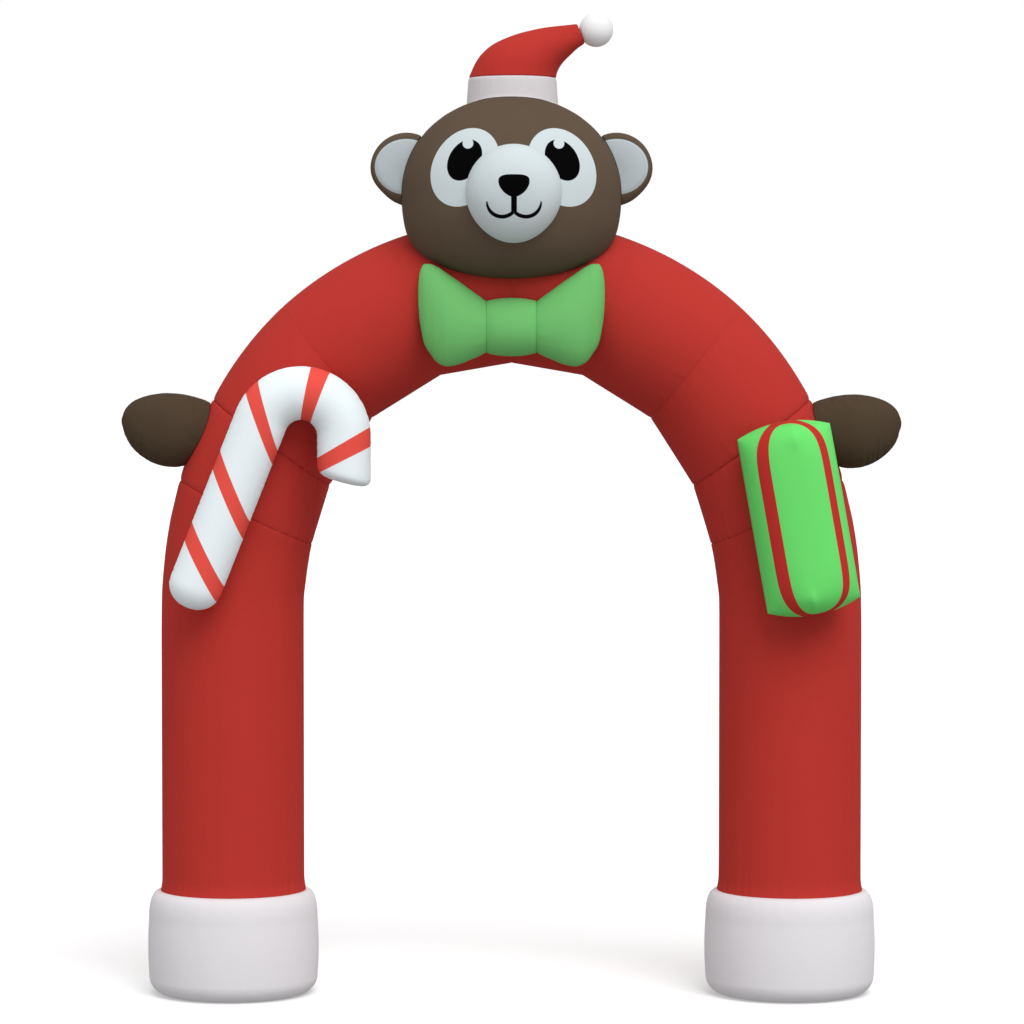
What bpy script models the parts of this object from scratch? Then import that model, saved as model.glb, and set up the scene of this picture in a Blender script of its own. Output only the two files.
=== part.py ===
"""Inflatable walk-through arch: a red air-filled tube on two white cuffs, with an animal head in a
stocking hat at its crown, a bow tie, two mitts, a candy cane and a gift box sewn to its front.

Every piece is sewn cloth blown up by air, so each solid is the form that the air gives it: tube panels
crowned between their seams, pillows thin at their seams and full in the middle. Metres, +Z up, the
front of the arch faces -Y. The origin is on the floor, under the middle of the whole object's box.
"""

import math
from collections import namedtuple

import bmesh
import bpy
import numpy as np
from mathutils import Vector

# Shared gaps and widths
SEAM_GAP = 0.0003
HALF_GAP = SEAM_GAP / 2

# The tube: its seams on the right side, from the leg to the crown, as the inner and outer point of
# each ring. The left side mirrors them.
Ring = namedtuple("Ring", "inner_x inner_z outer_x outer_z")
TUBE_RADIUS = 0.1955
TUBE_SIDES = 32
ELBOW_SEAM = Ring(0.550, 1.241, 0.907, 1.416)
SHOULDER_SEAM = Ring(0.500, 1.403, 0.816, 1.636)
UPPER_SEAM = Ring(0.383, 1.588, 0.626, 1.887)
HAUNCH_SEAM = Ring(0.195, 1.705, 0.333, 2.068)
CROWN_SEAM = Ring(0.000, 1.739, 0.000, 2.131)
ARCH_SEAMS = (ELBOW_SEAM, SHOULDER_SEAM, UPPER_SEAM, HAUNCH_SEAM, CROWN_SEAM)
PANEL_NAMES = ("elbow", "shoulder", "haunch", "crown")
OUTER_ARC_RADIUS = 0.924
SEAM_PINCH = 0.005
PINCH_REACH = 0.022
PANEL_STEPS = (0.25, 0.5, 0.75)

# The leg below the elbow seam, where the tube turns upright, then straight down to its cuff
LEG_BEND = (
    Ring(0.558, 1.196, 0.9390, 1.303),
    Ring(0.566, 1.140, 0.9545, 1.197),
    Ring(0.572, 1.080, 0.9620, 1.098),
)
LEG_X = 0.768
LEG_FLARE = 0.006
FLARE_LEVELS = ((0.036, 0.0), (0.014, 0.4), (0.0, 1.0))

# The cuff that each leg stands on, turned about the leg's axis
CUFF_RADIUS = 0.232
CUFF_HEIGHT = 0.286
CUFF_FOOT_ROUND = 0.050
CUFF_SHOULDER_DROP = 0.075
CUFF_CROWN = 0.003
CUFF_SHOULDER_POWER = 2.4
CUFF_FOOT_STEPS = 4
CUFF_SHOULDER_STEPS = 5
CUFF_SIDES = 40

# The head, a cushion of superellipse outline
HEAD_AHEAD = 0.110
HEAD_Z = 2.196
HEAD_HALF_WIDTH = 0.298
HEAD_FRONT_DEPTH = 0.240
HEAD_BACK_DEPTH = 0.300
HEAD_RISE = 0.2655
HEAD_DROP = 0.238
HEAD_UPPER_POWER = 2.05
HEAD_LOWER_POWER = 2.7
HEAD_SIDES = 36
HEAD_STEPS = 8

# The muzzle, ears and hat band are seated in the head
MUZZLE_X = 0.005
MUZZLE_Z = 2.194
MUZZLE_RADIUS = 0.1335
MUZZLE_CHIN = 0.004
MUZZLE_AHEAD = 0.318
MUZZLE_HALF_DEPTH = 0.112
MUZZLE_POWER = 2.1
MUZZLE_STEPS = 8
MUZZLE_SIDES = 32
EAR_X = 0.285
EAR_Z = 2.265
EAR_AHEAD = 0.096
EAR_RADIUS = 0.099
EAR_HALF_DEPTH = 0.036
EAR_POWER = 2.3
EAR_STEPS = 5
EAR_SIDES = 28
BAND_TOP_Z = 2.517
BAND_FOOT_Z = 2.366
BAND_TOP_RADIUS = 0.1187
BAND_FOOT_RADIUS = 0.1295
BAND_CROWN = 0.001
HAT_X = 0.0025
HAT_AHEAD = 0.020
HAT_SIDES = 28

# The hat's cone: the upper and lower point of each section, from the band to the tip
Section = namedtuple("Section", "upper_x upper_z lower_x lower_z")
HAT_SECTIONS = (
    Section(-0.1162, 2.5170, 0.1212, 2.5170),
    Section(-0.1025, 2.5500, 0.1245, 2.5305),
    Section(-0.0855, 2.5775, 0.1293, 2.5418),
    Section(-0.0525, 2.6070, 0.1375, 2.5550),
    Section(-0.0090, 2.6280, 0.1492, 2.5682),
    Section(0.0305, 2.6410, 0.1620, 2.5805),
    Section(0.0964, 2.6550, 0.1822, 2.5990),
    Section(0.1500, 2.6610, 0.1935, 2.6065),
    Section(0.1789, 2.6641, 0.1993, 2.6112),
)
POMPOM_X = 0.2314
POMPOM_Z = 2.6480
POMPOM_RADIUS = 0.0465
POMPOM_SIDES = 20
POMPOM_STEPS = 8

# The bow tie: its height and thickness at stations out from its knot
Pillow = namedtuple("Pillow", "out top_z bottom_z half_depth")
PILLOW_SIDES = 20
BOW_AHEAD = 0.215
BOW_WING = (
    Pillow(0.0663, 1.904, 1.768, 0.050),
    Pillow(0.0820, 1.916, 1.759, 0.056),
    Pillow(0.1100, 1.936, 1.747, 0.062),
    Pillow(0.1430, 1.960, 1.734, 0.065),
    Pillow(0.1725, 1.980, 1.729, 0.062),
    Pillow(0.1995, 1.998, 1.739, 0.052),
    Pillow(0.2200, 2.006, 1.764, 0.041),
    Pillow(0.2346, 2.006, 1.788, 0.030),
    Pillow(0.2440, 1.993, 1.828, 0.020),
    Pillow(0.2500, 1.963, 1.878, 0.011),
)
BOW_KNOT = (
    Pillow(-0.066, 1.9065, 1.7655, 0.052),
    Pillow(-0.050, 1.9100, 1.7610, 0.060),
    Pillow(-0.025, 1.9135, 1.7575, 0.065),
    Pillow(0.000, 1.9145, 1.7565, 0.067),
    Pillow(0.025, 1.9135, 1.7575, 0.065),
    Pillow(0.050, 1.9100, 1.7610, 0.060),
    Pillow(0.066, 1.9065, 1.7655, 0.052),
)
BOW_TIP_OUT = 0.2515
BOW_TIP_Z = 1.920

# The mitts: stations back from the tip, which reaches furthest from the arch
MITT_REACH = 1.070
MITT_AHEAD = 0.020
MITT_TIP_Z = 1.577
MITT_ROOT_OUT = 0.292
MITT_RIGHT_TILT = math.radians(1.3)
MITT = (
    Pillow(0.004, 1.594, 1.561, 0.012),
    Pillow(0.012, 1.612, 1.537, 0.026),
    Pillow(0.027, 1.628, 1.511, 0.042),
    Pillow(0.055, 1.642, 1.484, 0.061),
    Pillow(0.092, 1.651, 1.465, 0.076),
    Pillow(0.132, 1.654, 1.455, 0.084),
    Pillow(0.172, 1.650, 1.456, 0.084),
    Pillow(0.212, 1.641, 1.466, 0.078),
    Pillow(0.252, 1.627, 1.480, 0.068),
    Pillow(MITT_ROOT_OUT, 1.610, 1.497, 0.056),
)

# The candy cane: a tube on a straight shaft, a crook about one centre and a short hook
CANE_AHEAD = 0.257
CANE_RADIUS = 0.0722
CANE_HALF_DEPTH = 0.069
CANE_CROOK_X = -0.5656
CANE_CROOK_Z = 1.5426
CANE_CROOK_RADIUS = 0.1155
CANE_LEAN = math.radians(21.6)
CANE_SHAFT = 0.476
CANE_HOOK = 0.126
CANE_HOOK_SLANT = 0.26
CANE_SIDES = 18
CANE_SHAFT_STEPS = 6
CANE_CROOK_STEPS = 12
CANE_HOOK_STEPS = 2
CANE_FOOT_DOME = 0.066
CANE_HOOK_DOME = 0.036
CANE_FOOT_POWER = 2.1
CANE_HOOK_POWER = 3.2
CANE_DOME_STEPS = 4

# The gift box: a pillow of four corners, leaned on the right leg's front
GIFT_X = 0.772
GIFT_Z = 1.3215
GIFT_AHEAD = 0.262
GIFT_HALF_WIDTH = 0.127
GIFT_HALF_HEIGHT = 0.237
GIFT_HALF_DEPTH = 0.112
GIFT_END_CROWN = 0.027
GIFT_SIDE_POWER = 2.3
GIFT_END_POWER = 5
GIFT_LEAN = math.radians(10.1)
GIFT_TURN = math.radians(4.0)
GIFT_STEPS_ACROSS = 12
GIFT_STEPS_UP = 16

# The arch's plane lies back from the origin, which is under the middle of the whole depth
MUZZLE_FRONT = MUZZLE_AHEAD + MUZZLE_HALF_DEPTH
ARCH_Y = (MUZZLE_FRONT - CUFF_RADIUS - CUFF_CROWN) / 2

RED = (0.46, 0.030, 0.024)
WHITE = (0.76, 0.74, 0.76)
BROWN = (0.105, 0.075, 0.052)
DARK_BROWN = (0.070, 0.045, 0.030)
BOW_GREEN = (0.17, 0.50, 0.16)
GIFT_GREEN = (0.15, 0.66, 0.15)
FACE_WHITE = (0.70, 0.76, 0.78)
CANE_WHITE = (0.85, 0.88, 0.90)
CLOTH_ROUGHNESS = 0.75
SMOOTH_ANGLE = math.radians(40)


def clear_scene():
    """Takes every object out of the scene."""
    for old in list(bpy.data.objects):
        bpy.data.objects.remove(old)


def cloth(name, colour):
    """A matt polyester of one colour."""
    material = bpy.data.materials.new(f"{name}_cloth")
    material.use_nodes = True
    shader = material.node_tree.nodes["Principled BSDF"]
    shader.inputs["Base Color"].default_value = (*colour, 1.0)
    shader.inputs["Roughness"].default_value = CLOTH_ROUGHNESS
    shader.inputs["Metallic"].default_value = 0.0
    return material


def finished(name, body, colour):
    """An object of the body's mesh, its faces outward and its origin in its middle."""
    bmesh.ops.recalc_face_normals(body, faces=body.faces)
    middle = sum((vert.co for vert in body.verts), Vector()) / len(body.verts)
    bmesh.ops.translate(body, verts=body.verts, vec=-middle)
    mesh = bpy.data.meshes.new(name)
    body.to_mesh(mesh)
    body.free()
    mesh.shade_smooth()
    mesh.set_sharp_from_angle(angle=SMOOTH_ANGLE)
    mesh.materials.append(cloth(name, colour))
    made = bpy.data.objects.new(name, mesh)
    made.location = middle
    bpy.context.scene.collection.objects.link(made)
    return made


def closed_skin(name, rings, colour, first_pole=None, last_pole=None):
    """One closed body over a stack of rings. An end is drawn to its pole, or closed flat without one."""
    body = bmesh.new()
    loops = [[body.verts.new(point) for point in ring] for ring in rings]
    sides = len(loops[0])
    for low, high in zip(loops, loops[1:]):
        for k in range(sides):
            after = (k + 1) % sides
            body.faces.new((low[k], low[after], high[after], high[k]))
    for loop, pole in ((loops[0], first_pole), (loops[-1], last_pole)):
        if pole is None:
            body.faces.new(loop)
            continue
        tip = body.verts.new(pole)
        for k in range(sides):
            body.faces.new((loop[k], loop[(k + 1) % sides], tip))
    return finished(name, body, colour)


def pillow_skin(name, front, back, colour):
    """One closed body from two grids of points that share their border."""
    body = bmesh.new()
    rows, columns = len(front), len(front[0])
    near = [[body.verts.new(point) for point in row] for row in front]
    far = [list(row) for row in near]
    for j in range(1, rows - 1):
        for i in range(1, columns - 1):
            far[j][i] = body.verts.new(back[j][i])
    for j in range(rows - 1):
        for i in range(columns - 1):
            for grid in (near, far):
                body.faces.new((grid[j][i], grid[j][i + 1], grid[j + 1][i + 1], grid[j + 1][i]))
    return finished(name, body, colour)


def as_cutter(tool):
    """Keeps a piece out of the model, as a tool for cutting the seats of others."""
    tool.hide_render = True
    tool.display_type = "WIRE"
    return tool


def seat(piece, tool):
    """Cuts the place where a piece is sewn onto its neighbour."""
    cut = piece.modifiers.new("Seat", "BOOLEAN")
    cut.operation = "DIFFERENCE"
    cut.solver = "EXACT"
    cut.object = tool


def turns(count):
    """Angles of a full turn, count of them."""
    return 2 * math.pi * np.arange(count) / count


def quarter(power, steps):
    """Points (across, up) of a quarter superellipse of unit size, from its widest to its top."""
    angle = np.linspace(0, math.pi / 2, steps + 1)
    return np.cos(angle) ** (2 / power), np.sin(angle) ** (2 / power)


def level_ring(x, y, z, half_width, half_depth, sides):
    """A level ellipse."""
    angle = turns(sides)
    across = x + half_width * np.cos(angle)
    return np.stack((across, y - half_depth * np.sin(angle), np.full(sides, z)), axis=1)


def tube_ring(ring, swell=0.0, grow=0.0, along=0.0):
    """An ellipse through a ring's inner and outer points, as deep as the tube is round.

    The swell is full on the outside of the bend and none inside it. along moves the ring square to its
    own plane.
    """
    inner = np.array((ring.inner_x, ring.inner_z))
    outer = np.array((ring.outer_x, ring.outer_z))
    middle = (inner + outer) / 2
    reach = (outer - inner) / 2
    radius = np.linalg.norm(reach)
    across = reach / radius
    square = np.array((-across[1], across[0])) * along
    angle = turns(TUBE_SIDES)
    fuller = grow + swell * (1 + np.cos(angle)) / 2
    x = middle[0] + square[0] + across[0] * (radius + fuller) * np.cos(angle)
    z = middle[1] + square[1] + across[1] * (radius + fuller) * np.cos(angle)
    y = ARCH_Y - (TUBE_RADIUS + fuller) * np.sin(angle)
    return np.stack((x, y, z), axis=1)


def between(low, high, share):
    """The ring a share of the way from one ring to another."""
    return Ring(*(a + (b - a) * share for a, b in zip(low, high)))


def panel_rings(low, high, grow=0.0, gap=HALF_GAP):
    """The rings of one arch panel: drawn in at its two seams, crowned between them."""
    chord = math.hypot(high.outer_x - low.outer_x, high.outer_z - low.outer_z)
    swell = chord**2 / (8 * OUTER_ARC_RADIUS)
    near = PINCH_REACH / chord
    rings = [tube_ring(low, grow=grow, along=gap)]
    for share in (near, *PANEL_STEPS, 1 - near):
        crown = 4 * share * (1 - share) * swell + SEAM_PINCH
        rings.append(tube_ring(between(low, high, share), swell=crown, grow=grow))
    rings.append(tube_ring(high, grow=grow, along=-gap))
    return rings


def leg_rings(grow=0.0, gap=HALF_GAP):
    """The rings of the leg, from its elbow seam down to the flare where it meets its cuff."""
    near = between(ELBOW_SEAM, LEG_BEND[0], PINCH_REACH / (ELBOW_SEAM.outer_z - LEG_BEND[0].outer_z))
    rings = [tube_ring(ELBOW_SEAM, grow=grow, along=-gap)]
    rings.append(tube_ring(near, swell=SEAM_PINCH, grow=grow))
    rings += [tube_ring(ring, grow=grow) for ring in LEG_BEND]
    foot = CUFF_HEIGHT + gap * 2
    for above, flare in FLARE_LEVELS:
        level = foot + above
        ring = Ring(LEG_X - TUBE_RADIUS, level, LEG_X + TUBE_RADIUS, level)
        rings.append(tube_ring(ring, grow=grow + LEG_FLARE * flare))
    return rings


def mirrored(rings):
    """The same rings on the left side."""
    return [ring * np.array((-1, 1, 1)) for ring in rings]


def tube_tool():
    """The whole tube, leg to leg, grown by the seam gap: what is sewn onto the tube is cut by it."""
    right = leg_rings(grow=SEAM_GAP, gap=0.0)[::-1]
    for low, high in zip(ARCH_SEAMS, ARCH_SEAMS[1:]):
        right += panel_rings(low, high, grow=SEAM_GAP, gap=0.0)[1:]
    left = mirrored(right[:-1])[::-1]
    return as_cutter(closed_skin("tube_tool", right + left, RED))


def make_tube():
    """The legs and the arch's panels, a pair of each."""
    closed_skin("leg_right", leg_rings(), RED)
    closed_skin("leg_left", mirrored(leg_rings()), RED)
    for name, low, high in zip(PANEL_NAMES, ARCH_SEAMS, ARCH_SEAMS[1:]):
        rings = panel_rings(low, high)
        closed_skin(f"panel_{name}_right", rings, RED)
        closed_skin(f"panel_{name}_left", mirrored(rings), RED)


def make_cuffs():
    """The two white cuffs, turned: a flat foot, a crowned side and a shoulder up to the leg."""
    foot_in, foot_down = quarter(2.0, CUFF_FOOT_STEPS)
    shoulder_in, shoulder_up = quarter(CUFF_SHOULDER_POWER, CUFF_SHOULDER_STEPS)
    shoulder_width = CUFF_RADIUS - TUBE_RADIUS - LEG_FLARE
    side_top = CUFF_HEIGHT - CUFF_SHOULDER_DROP
    profile = [(CUFF_RADIUS - CUFF_FOOT_ROUND * (1 - a), CUFF_FOOT_ROUND * (1 - u))
               for a, u in zip(foot_in[::-1], foot_down[::-1])]
    profile.append((CUFF_RADIUS + CUFF_CROWN, (CUFF_FOOT_ROUND + side_top) / 2))
    profile += [(CUFF_RADIUS - shoulder_width * (1 - a), side_top + CUFF_SHOULDER_DROP * u)
                for a, u in zip(shoulder_in, shoulder_up)]
    for side, x in (("right", LEG_X), ("left", -LEG_X)):
        rings = [level_ring(x, ARCH_Y, z, radius, radius, CUFF_SIDES) for radius, z in profile]
        closed_skin(f"cuff_{side}", rings, WHITE)


def head_skin(name, grow=0.0):
    """The head: level rings under a superellipse outline, fuller below than above.

    Each ring is half an ellipse ahead of the head's middle and a deeper half behind it, so that the
    head covers the tube from front to back.
    """
    across, down = quarter(HEAD_LOWER_POWER, HEAD_STEPS)
    rows = [(a, -u * (HEAD_DROP + grow)) for a, u in zip(across[-2:0:-1], down[-2:0:-1])]
    across, up = quarter(HEAD_UPPER_POWER, HEAD_STEPS)
    rows += [(a, u * (HEAD_RISE + grow)) for a, u in zip(across[:-1], up[:-1])]
    y = ARCH_Y - HEAD_AHEAD
    wide = HEAD_HALF_WIDTH + grow
    deep = np.where(np.sin(turns(HEAD_SIDES)) > 0, HEAD_FRONT_DEPTH, HEAD_BACK_DEPTH) + grow
    rings = [level_ring(0, y, HEAD_Z + z, wide * a, deep * a, HEAD_SIDES) for a, z in rows]
    poles = (0, y, HEAD_Z - HEAD_DROP - grow), (0, y, HEAD_Z + HEAD_RISE + grow)
    return closed_skin(name, rings, BROWN, *poles)


def facing_pillow(name, colour, centre, radius, half_depth, power, steps, sides, chin=0.0):
    """A round pillow that faces forwards, thickest in its middle, with its low point drawn to a chin."""
    across, ahead = quarter(power, steps)
    x, y, z = centre
    angle = turns(sides)
    low_point = np.clip(-np.sin(angle), 0, 1) ** 6
    stations = [(a, u) for a, u in zip(across[-2:0:-1], ahead[-2:0:-1])]
    stations += [(a, -u) for a, u in zip(across[:-1], ahead[:-1])]
    rings = []
    for a, u in stations:
        reach = a * (radius + chin * low_point)
        depth = np.full(sides, y + u * half_depth)
        rings.append(np.stack((x + reach * np.cos(angle), depth, z + reach * np.sin(angle)), axis=1))
    return closed_skin(name, rings, colour, (x, y + half_depth, z), (x, y - half_depth, z))


def make_face(head_tool):
    """The muzzle and the ears, seated in the front and the sides of the head."""
    muzzle = facing_pillow("muzzle", FACE_WHITE, (MUZZLE_X, ARCH_Y - MUZZLE_AHEAD, MUZZLE_Z),
                           MUZZLE_RADIUS, MUZZLE_HALF_DEPTH, MUZZLE_POWER, MUZZLE_STEPS, MUZZLE_SIDES,
                           chin=MUZZLE_CHIN)
    seat(muzzle, head_tool)
    for name, x in (("ear_right", EAR_X), ("ear_left", -EAR_X)):
        ear = facing_pillow(name, BROWN, (x, ARCH_Y - EAR_AHEAD, EAR_Z),
                            EAR_RADIUS, EAR_HALF_DEPTH, EAR_POWER, EAR_STEPS, EAR_SIDES)
        seat(ear, head_tool)


def section_ring(upper, lower, y, sides):
    """A round section between an upper and a lower point (x, z), square to the arch's plane."""
    middle, reach = (upper + lower) / 2, (upper - lower) / 2
    angle = turns(sides)
    x = middle[0] + reach[0] * np.cos(angle)
    z = middle[1] + reach[1] * np.cos(angle)
    return np.stack((x, y - np.linalg.norm(reach) * np.sin(angle), z), axis=1)


def make_hat(head_tool):
    """The hat: a white band on the head, behind its highest line, a bent red cone and a pompom."""
    y = ARCH_Y - HAT_AHEAD
    middle_radius = (BAND_TOP_RADIUS + BAND_FOOT_RADIUS) / 2 + BAND_CROWN
    levels = (
        (BAND_FOOT_Z, BAND_FOOT_RADIUS),
        ((BAND_TOP_Z + BAND_FOOT_Z) / 2, middle_radius),
        (BAND_TOP_Z - SEAM_GAP, BAND_TOP_RADIUS),
    )
    rings = [level_ring(HAT_X, y, z, radius, radius, HAT_SIDES) for z, radius in levels]
    seat(closed_skin("hat_band", rings, WHITE), head_tool)

    uppers = [np.array((row.upper_x, row.upper_z)) for row in HAT_SECTIONS]
    lowers = [np.array((row.lower_x, row.lower_z)) for row in HAT_SECTIONS]
    rings = [section_ring(upper, lower, y, HAT_SIDES) for upper, lower in zip(uppers, lowers)]
    closed_skin("hat_cone", rings, RED)
    make_pompom(uppers[-1], lowers[-1], y)


def make_pompom(upper, lower, y):
    """The pompom: a ball cut flat where the cone's tip, between upper and lower, meets it."""
    centre = np.array((POMPOM_X, POMPOM_Z))
    across = (upper - lower) / np.linalg.norm(upper - lower)
    onward = np.array((across[1], -across[0]))
    flat = (centre - (upper + lower) / 2) @ onward - SEAM_GAP
    rings = []
    for rise in np.linspace(math.asin(-flat / POMPOM_RADIUS), math.pi / 2, POMPOM_STEPS + 1)[:-1]:
        middle = centre + onward * POMPOM_RADIUS * math.sin(rise)
        reach = across * POMPOM_RADIUS * math.cos(rise)
        rings.append(section_ring(middle + reach, middle - reach, y, POMPOM_SIDES))
    pole = centre + onward * POMPOM_RADIUS
    closed_skin("hat_pompom", rings, WHITE, None, (pole[0], y, pole[1]))


def pillow_ring(x, y, station):
    """An upright section of a sewn pillow, square to its length."""
    angle = turns(PILLOW_SIDES)
    middle = (station.top_z + station.bottom_z) / 2
    half = (station.top_z - station.bottom_z) / 2
    depth = y - station.half_depth * np.cos(angle)
    return np.stack((np.full(PILLOW_SIDES, x), depth, middle + half * np.sin(angle)), axis=1)


def make_bow(tool):
    """The bow tie: two wings and the knot between them, sewn to the tube's front."""
    y = ARCH_Y - BOW_AHEAD
    for name, sign in (("bow_wing_right", 1), ("bow_wing_left", -1)):
        rings = [pillow_ring(sign * row.out, y, row) for row in BOW_WING]
        tip = (sign * BOW_TIP_OUT, y, BOW_TIP_Z)
        seat(closed_skin(name, rings, BOW_GREEN, None, tip), tool)
    seat(closed_skin("bow_knot", [pillow_ring(row.out, y, row) for row in BOW_KNOT], BOW_GREEN), tool)


def make_mitts(tool):
    """The mitts: two fat pillows that stand out from the tube's outer sides. The right one hangs a little."""
    y = ARCH_Y - MITT_AHEAD
    for name, sign, tilt in (("mitt_right", 1, MITT_RIGHT_TILT), ("mitt_left", -1, 0.0)):
        rings = []
        for row in MITT:
            ring = pillow_ring(sign * (MITT_REACH - row.out), y, row)
            ring[:, 2] -= (MITT_ROOT_OUT - row.out) * math.tan(tilt)
            rings.append(ring)
        tip = (sign * MITT_REACH, y, MITT_TIP_Z - MITT_ROOT_OUT * math.tan(tilt))
        seat(closed_skin(name, rings, DARK_BROWN, tip), tool)


def cane_path():
    """Points (x, z) and headings along the cane's middle, from its foot round the crook to its hook."""
    heading = np.array((math.sin(CANE_LEAN), math.cos(CANE_LEAN)))
    outward = np.array((-heading[1], heading[0]))
    centre = np.array((CANE_CROOK_X, CANE_CROOK_Z))
    crook_start = centre + outward * CANE_CROOK_RADIUS
    path = []
    for back in np.linspace(CANE_SHAFT, 0, CANE_SHAFT_STEPS + 1)[:-1]:
        path.append((crook_start - heading * back, heading))
    for turned in np.linspace(0, math.pi - CANE_LEAN, CANE_CROOK_STEPS + 1):
        away = np.array((-math.cos(CANE_LEAN + turned), math.sin(CANE_LEAN + turned)))
        path.append((centre + away * CANE_CROOK_RADIUS, np.array((away[1], -away[0]))))
    end, along = path[-1]
    for on in np.linspace(0, CANE_HOOK - CANE_HOOK_DOME, CANE_HOOK_STEPS + 1)[1:]:
        path.append((end + along * on, along))
    return path


def cane_ring(point, heading, shrink=1.0, slant=0.0):
    """A round section square to the cane's path, or slanted so that its left side lies further on."""
    angle = turns(CANE_SIDES)
    across = np.array((-heading[1], heading[0]))
    side = CANE_RADIUS * shrink * np.cos(angle)
    x = point[0] + across[0] * side + heading[0] * slant * side
    z = point[1] + across[1] * side + heading[1] * slant * side
    y = ARCH_Y - CANE_AHEAD - CANE_HALF_DEPTH * shrink * np.sin(angle)
    return np.stack((x, y, z), axis=1)


def cane_end(point, heading, outward, dome, power, slant):
    """The rings and the pole of a domed end, in order outward from the last full section."""
    across, ahead = quarter(power, CANE_DOME_STEPS)
    rings = [cane_ring(point + outward * dome * u, heading, a, slant)
             for a, u in zip(across[1:-1], ahead[1:-1])]
    tip = point + outward * dome
    return rings, (tip[0], ARCH_Y - CANE_AHEAD, tip[1])


def make_cane(tool):
    """The candy cane: one blown-up tube with a round foot and a blunter, slanted hook end."""
    path = cane_path()
    straight = len(path) - CANE_HOOK_STEPS
    rings = [cane_ring(point, heading) for point, heading in path[:straight]]
    for step, (point, heading) in enumerate(path[straight:], start=1):
        rings.append(cane_ring(point, heading, slant=CANE_HOOK_SLANT * step / CANE_HOOK_STEPS))
    start, up = path[0]
    end, down = path[-1]
    foot, foot_pole = cane_end(start, up, -up, CANE_FOOT_DOME, CANE_FOOT_POWER, 0.0)
    hook, hook_pole = cane_end(end, down, down, CANE_HOOK_DOME, CANE_HOOK_POWER, CANE_HOOK_SLANT)
    seat(closed_skin("candy_cane", foot[::-1] + rings + hook, CANE_WHITE, foot_pole, hook_pole), tool)


def gift_point(across, up, face):
    """A point of the gift's front (face -1) or back (face 1), for across and up from -1 to 1."""
    full = math.sqrt((1 - abs(across) ** GIFT_SIDE_POWER) * (1 - abs(up) ** GIFT_END_POWER))
    x = GIFT_HALF_WIDTH * across
    z = GIFT_HALF_HEIGHT * up + GIFT_END_CROWN * (1 - across**2) * up**3
    y = face * GIFT_HALF_DEPTH * full
    turned_x = x * math.cos(GIFT_TURN) - y * math.sin(GIFT_TURN)
    turned_y = x * math.sin(GIFT_TURN) + y * math.cos(GIFT_TURN)
    leaned_x = turned_x * math.cos(GIFT_LEAN) - z * math.sin(GIFT_LEAN)
    leaned_z = turned_x * math.sin(GIFT_LEAN) + z * math.cos(GIFT_LEAN)
    return GIFT_X + leaned_x, ARCH_Y - GIFT_AHEAD + turned_y, GIFT_Z + leaned_z


def make_gift(tool):
    """The gift box: a four-cornered pillow, round in the middle and thin at its seams."""
    across = np.sin(np.linspace(-math.pi / 2, math.pi / 2, GIFT_STEPS_ACROSS + 1))
    up = np.sin(np.linspace(-math.pi / 2, math.pi / 2, GIFT_STEPS_UP + 1))
    front = [[gift_point(a, u, -1) for a in across] for u in up]
    back = [[gift_point(a, u, 1) for a in across] for u in up]
    seat(pillow_skin("gift_box", front, back, GIFT_GREEN), tool)


def main():
    clear_scene()
    tool = tube_tool()
    make_tube()
    make_cuffs()
    seat(head_skin("head"), tool)
    head_tool = as_cutter(head_skin("head_tool", grow=SEAM_GAP))
    make_face(head_tool)
    make_hat(head_tool)
    make_bow(tool)
    make_mitts(tool)
    make_cane(tool)
    make_gift(tool)


main()
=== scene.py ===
"""Looks of the inflatable arch: the skins that air gives its sewn cloth, their seams and finishes.

Metres, +Z up, the front faces -Y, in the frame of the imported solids. Every piece is a surface of two
parameters worked out as whole arrays; the mitts are then blown up as cloth.
"""

import math
from collections import namedtuple

import bpy
import numpy as np
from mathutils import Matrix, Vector


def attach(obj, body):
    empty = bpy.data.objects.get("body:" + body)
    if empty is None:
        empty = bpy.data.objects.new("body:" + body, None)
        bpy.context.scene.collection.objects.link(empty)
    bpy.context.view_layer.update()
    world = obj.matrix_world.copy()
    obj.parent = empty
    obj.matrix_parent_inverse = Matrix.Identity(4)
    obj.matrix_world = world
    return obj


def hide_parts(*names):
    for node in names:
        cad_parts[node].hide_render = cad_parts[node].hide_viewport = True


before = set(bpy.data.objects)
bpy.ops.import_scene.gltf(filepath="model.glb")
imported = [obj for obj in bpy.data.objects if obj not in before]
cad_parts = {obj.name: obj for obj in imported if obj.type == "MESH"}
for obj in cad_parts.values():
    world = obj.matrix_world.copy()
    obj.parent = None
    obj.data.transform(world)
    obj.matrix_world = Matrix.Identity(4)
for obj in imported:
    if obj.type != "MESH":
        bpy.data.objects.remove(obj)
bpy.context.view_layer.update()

# Gap that a pressed-on piece keeps to its neighbour, the width over which it rounds off there, and the
# gap between two pieces that meet end to end
TOUCH = 0.0006
ROUND_OFF = 0.006
SEAM_GAP = 0.0003

# The tube: its seams on the right side as the inner and outer point of each ring, and its leg
Ring = namedtuple("Ring", "inner_x inner_z outer_x outer_z")
TUBE_RADIUS = 0.1955
SEAMS = (
    Ring(0.550, 1.241, 0.907, 1.416),
    Ring(0.500, 1.403, 0.816, 1.636),
    Ring(0.383, 1.588, 0.626, 1.887),
    Ring(0.195, 1.705, 0.333, 2.068),
    Ring(0.000, 1.739, 0.000, 2.131),
)
PANELS = ("elbow", "shoulder", "haunch", "crown")
OUTER_ARC_RADIUS = 0.924
SEAM_PINCH = 0.005
SHOULDER_REACH = 0.06
PINCH_REACH = 0.022

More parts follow.
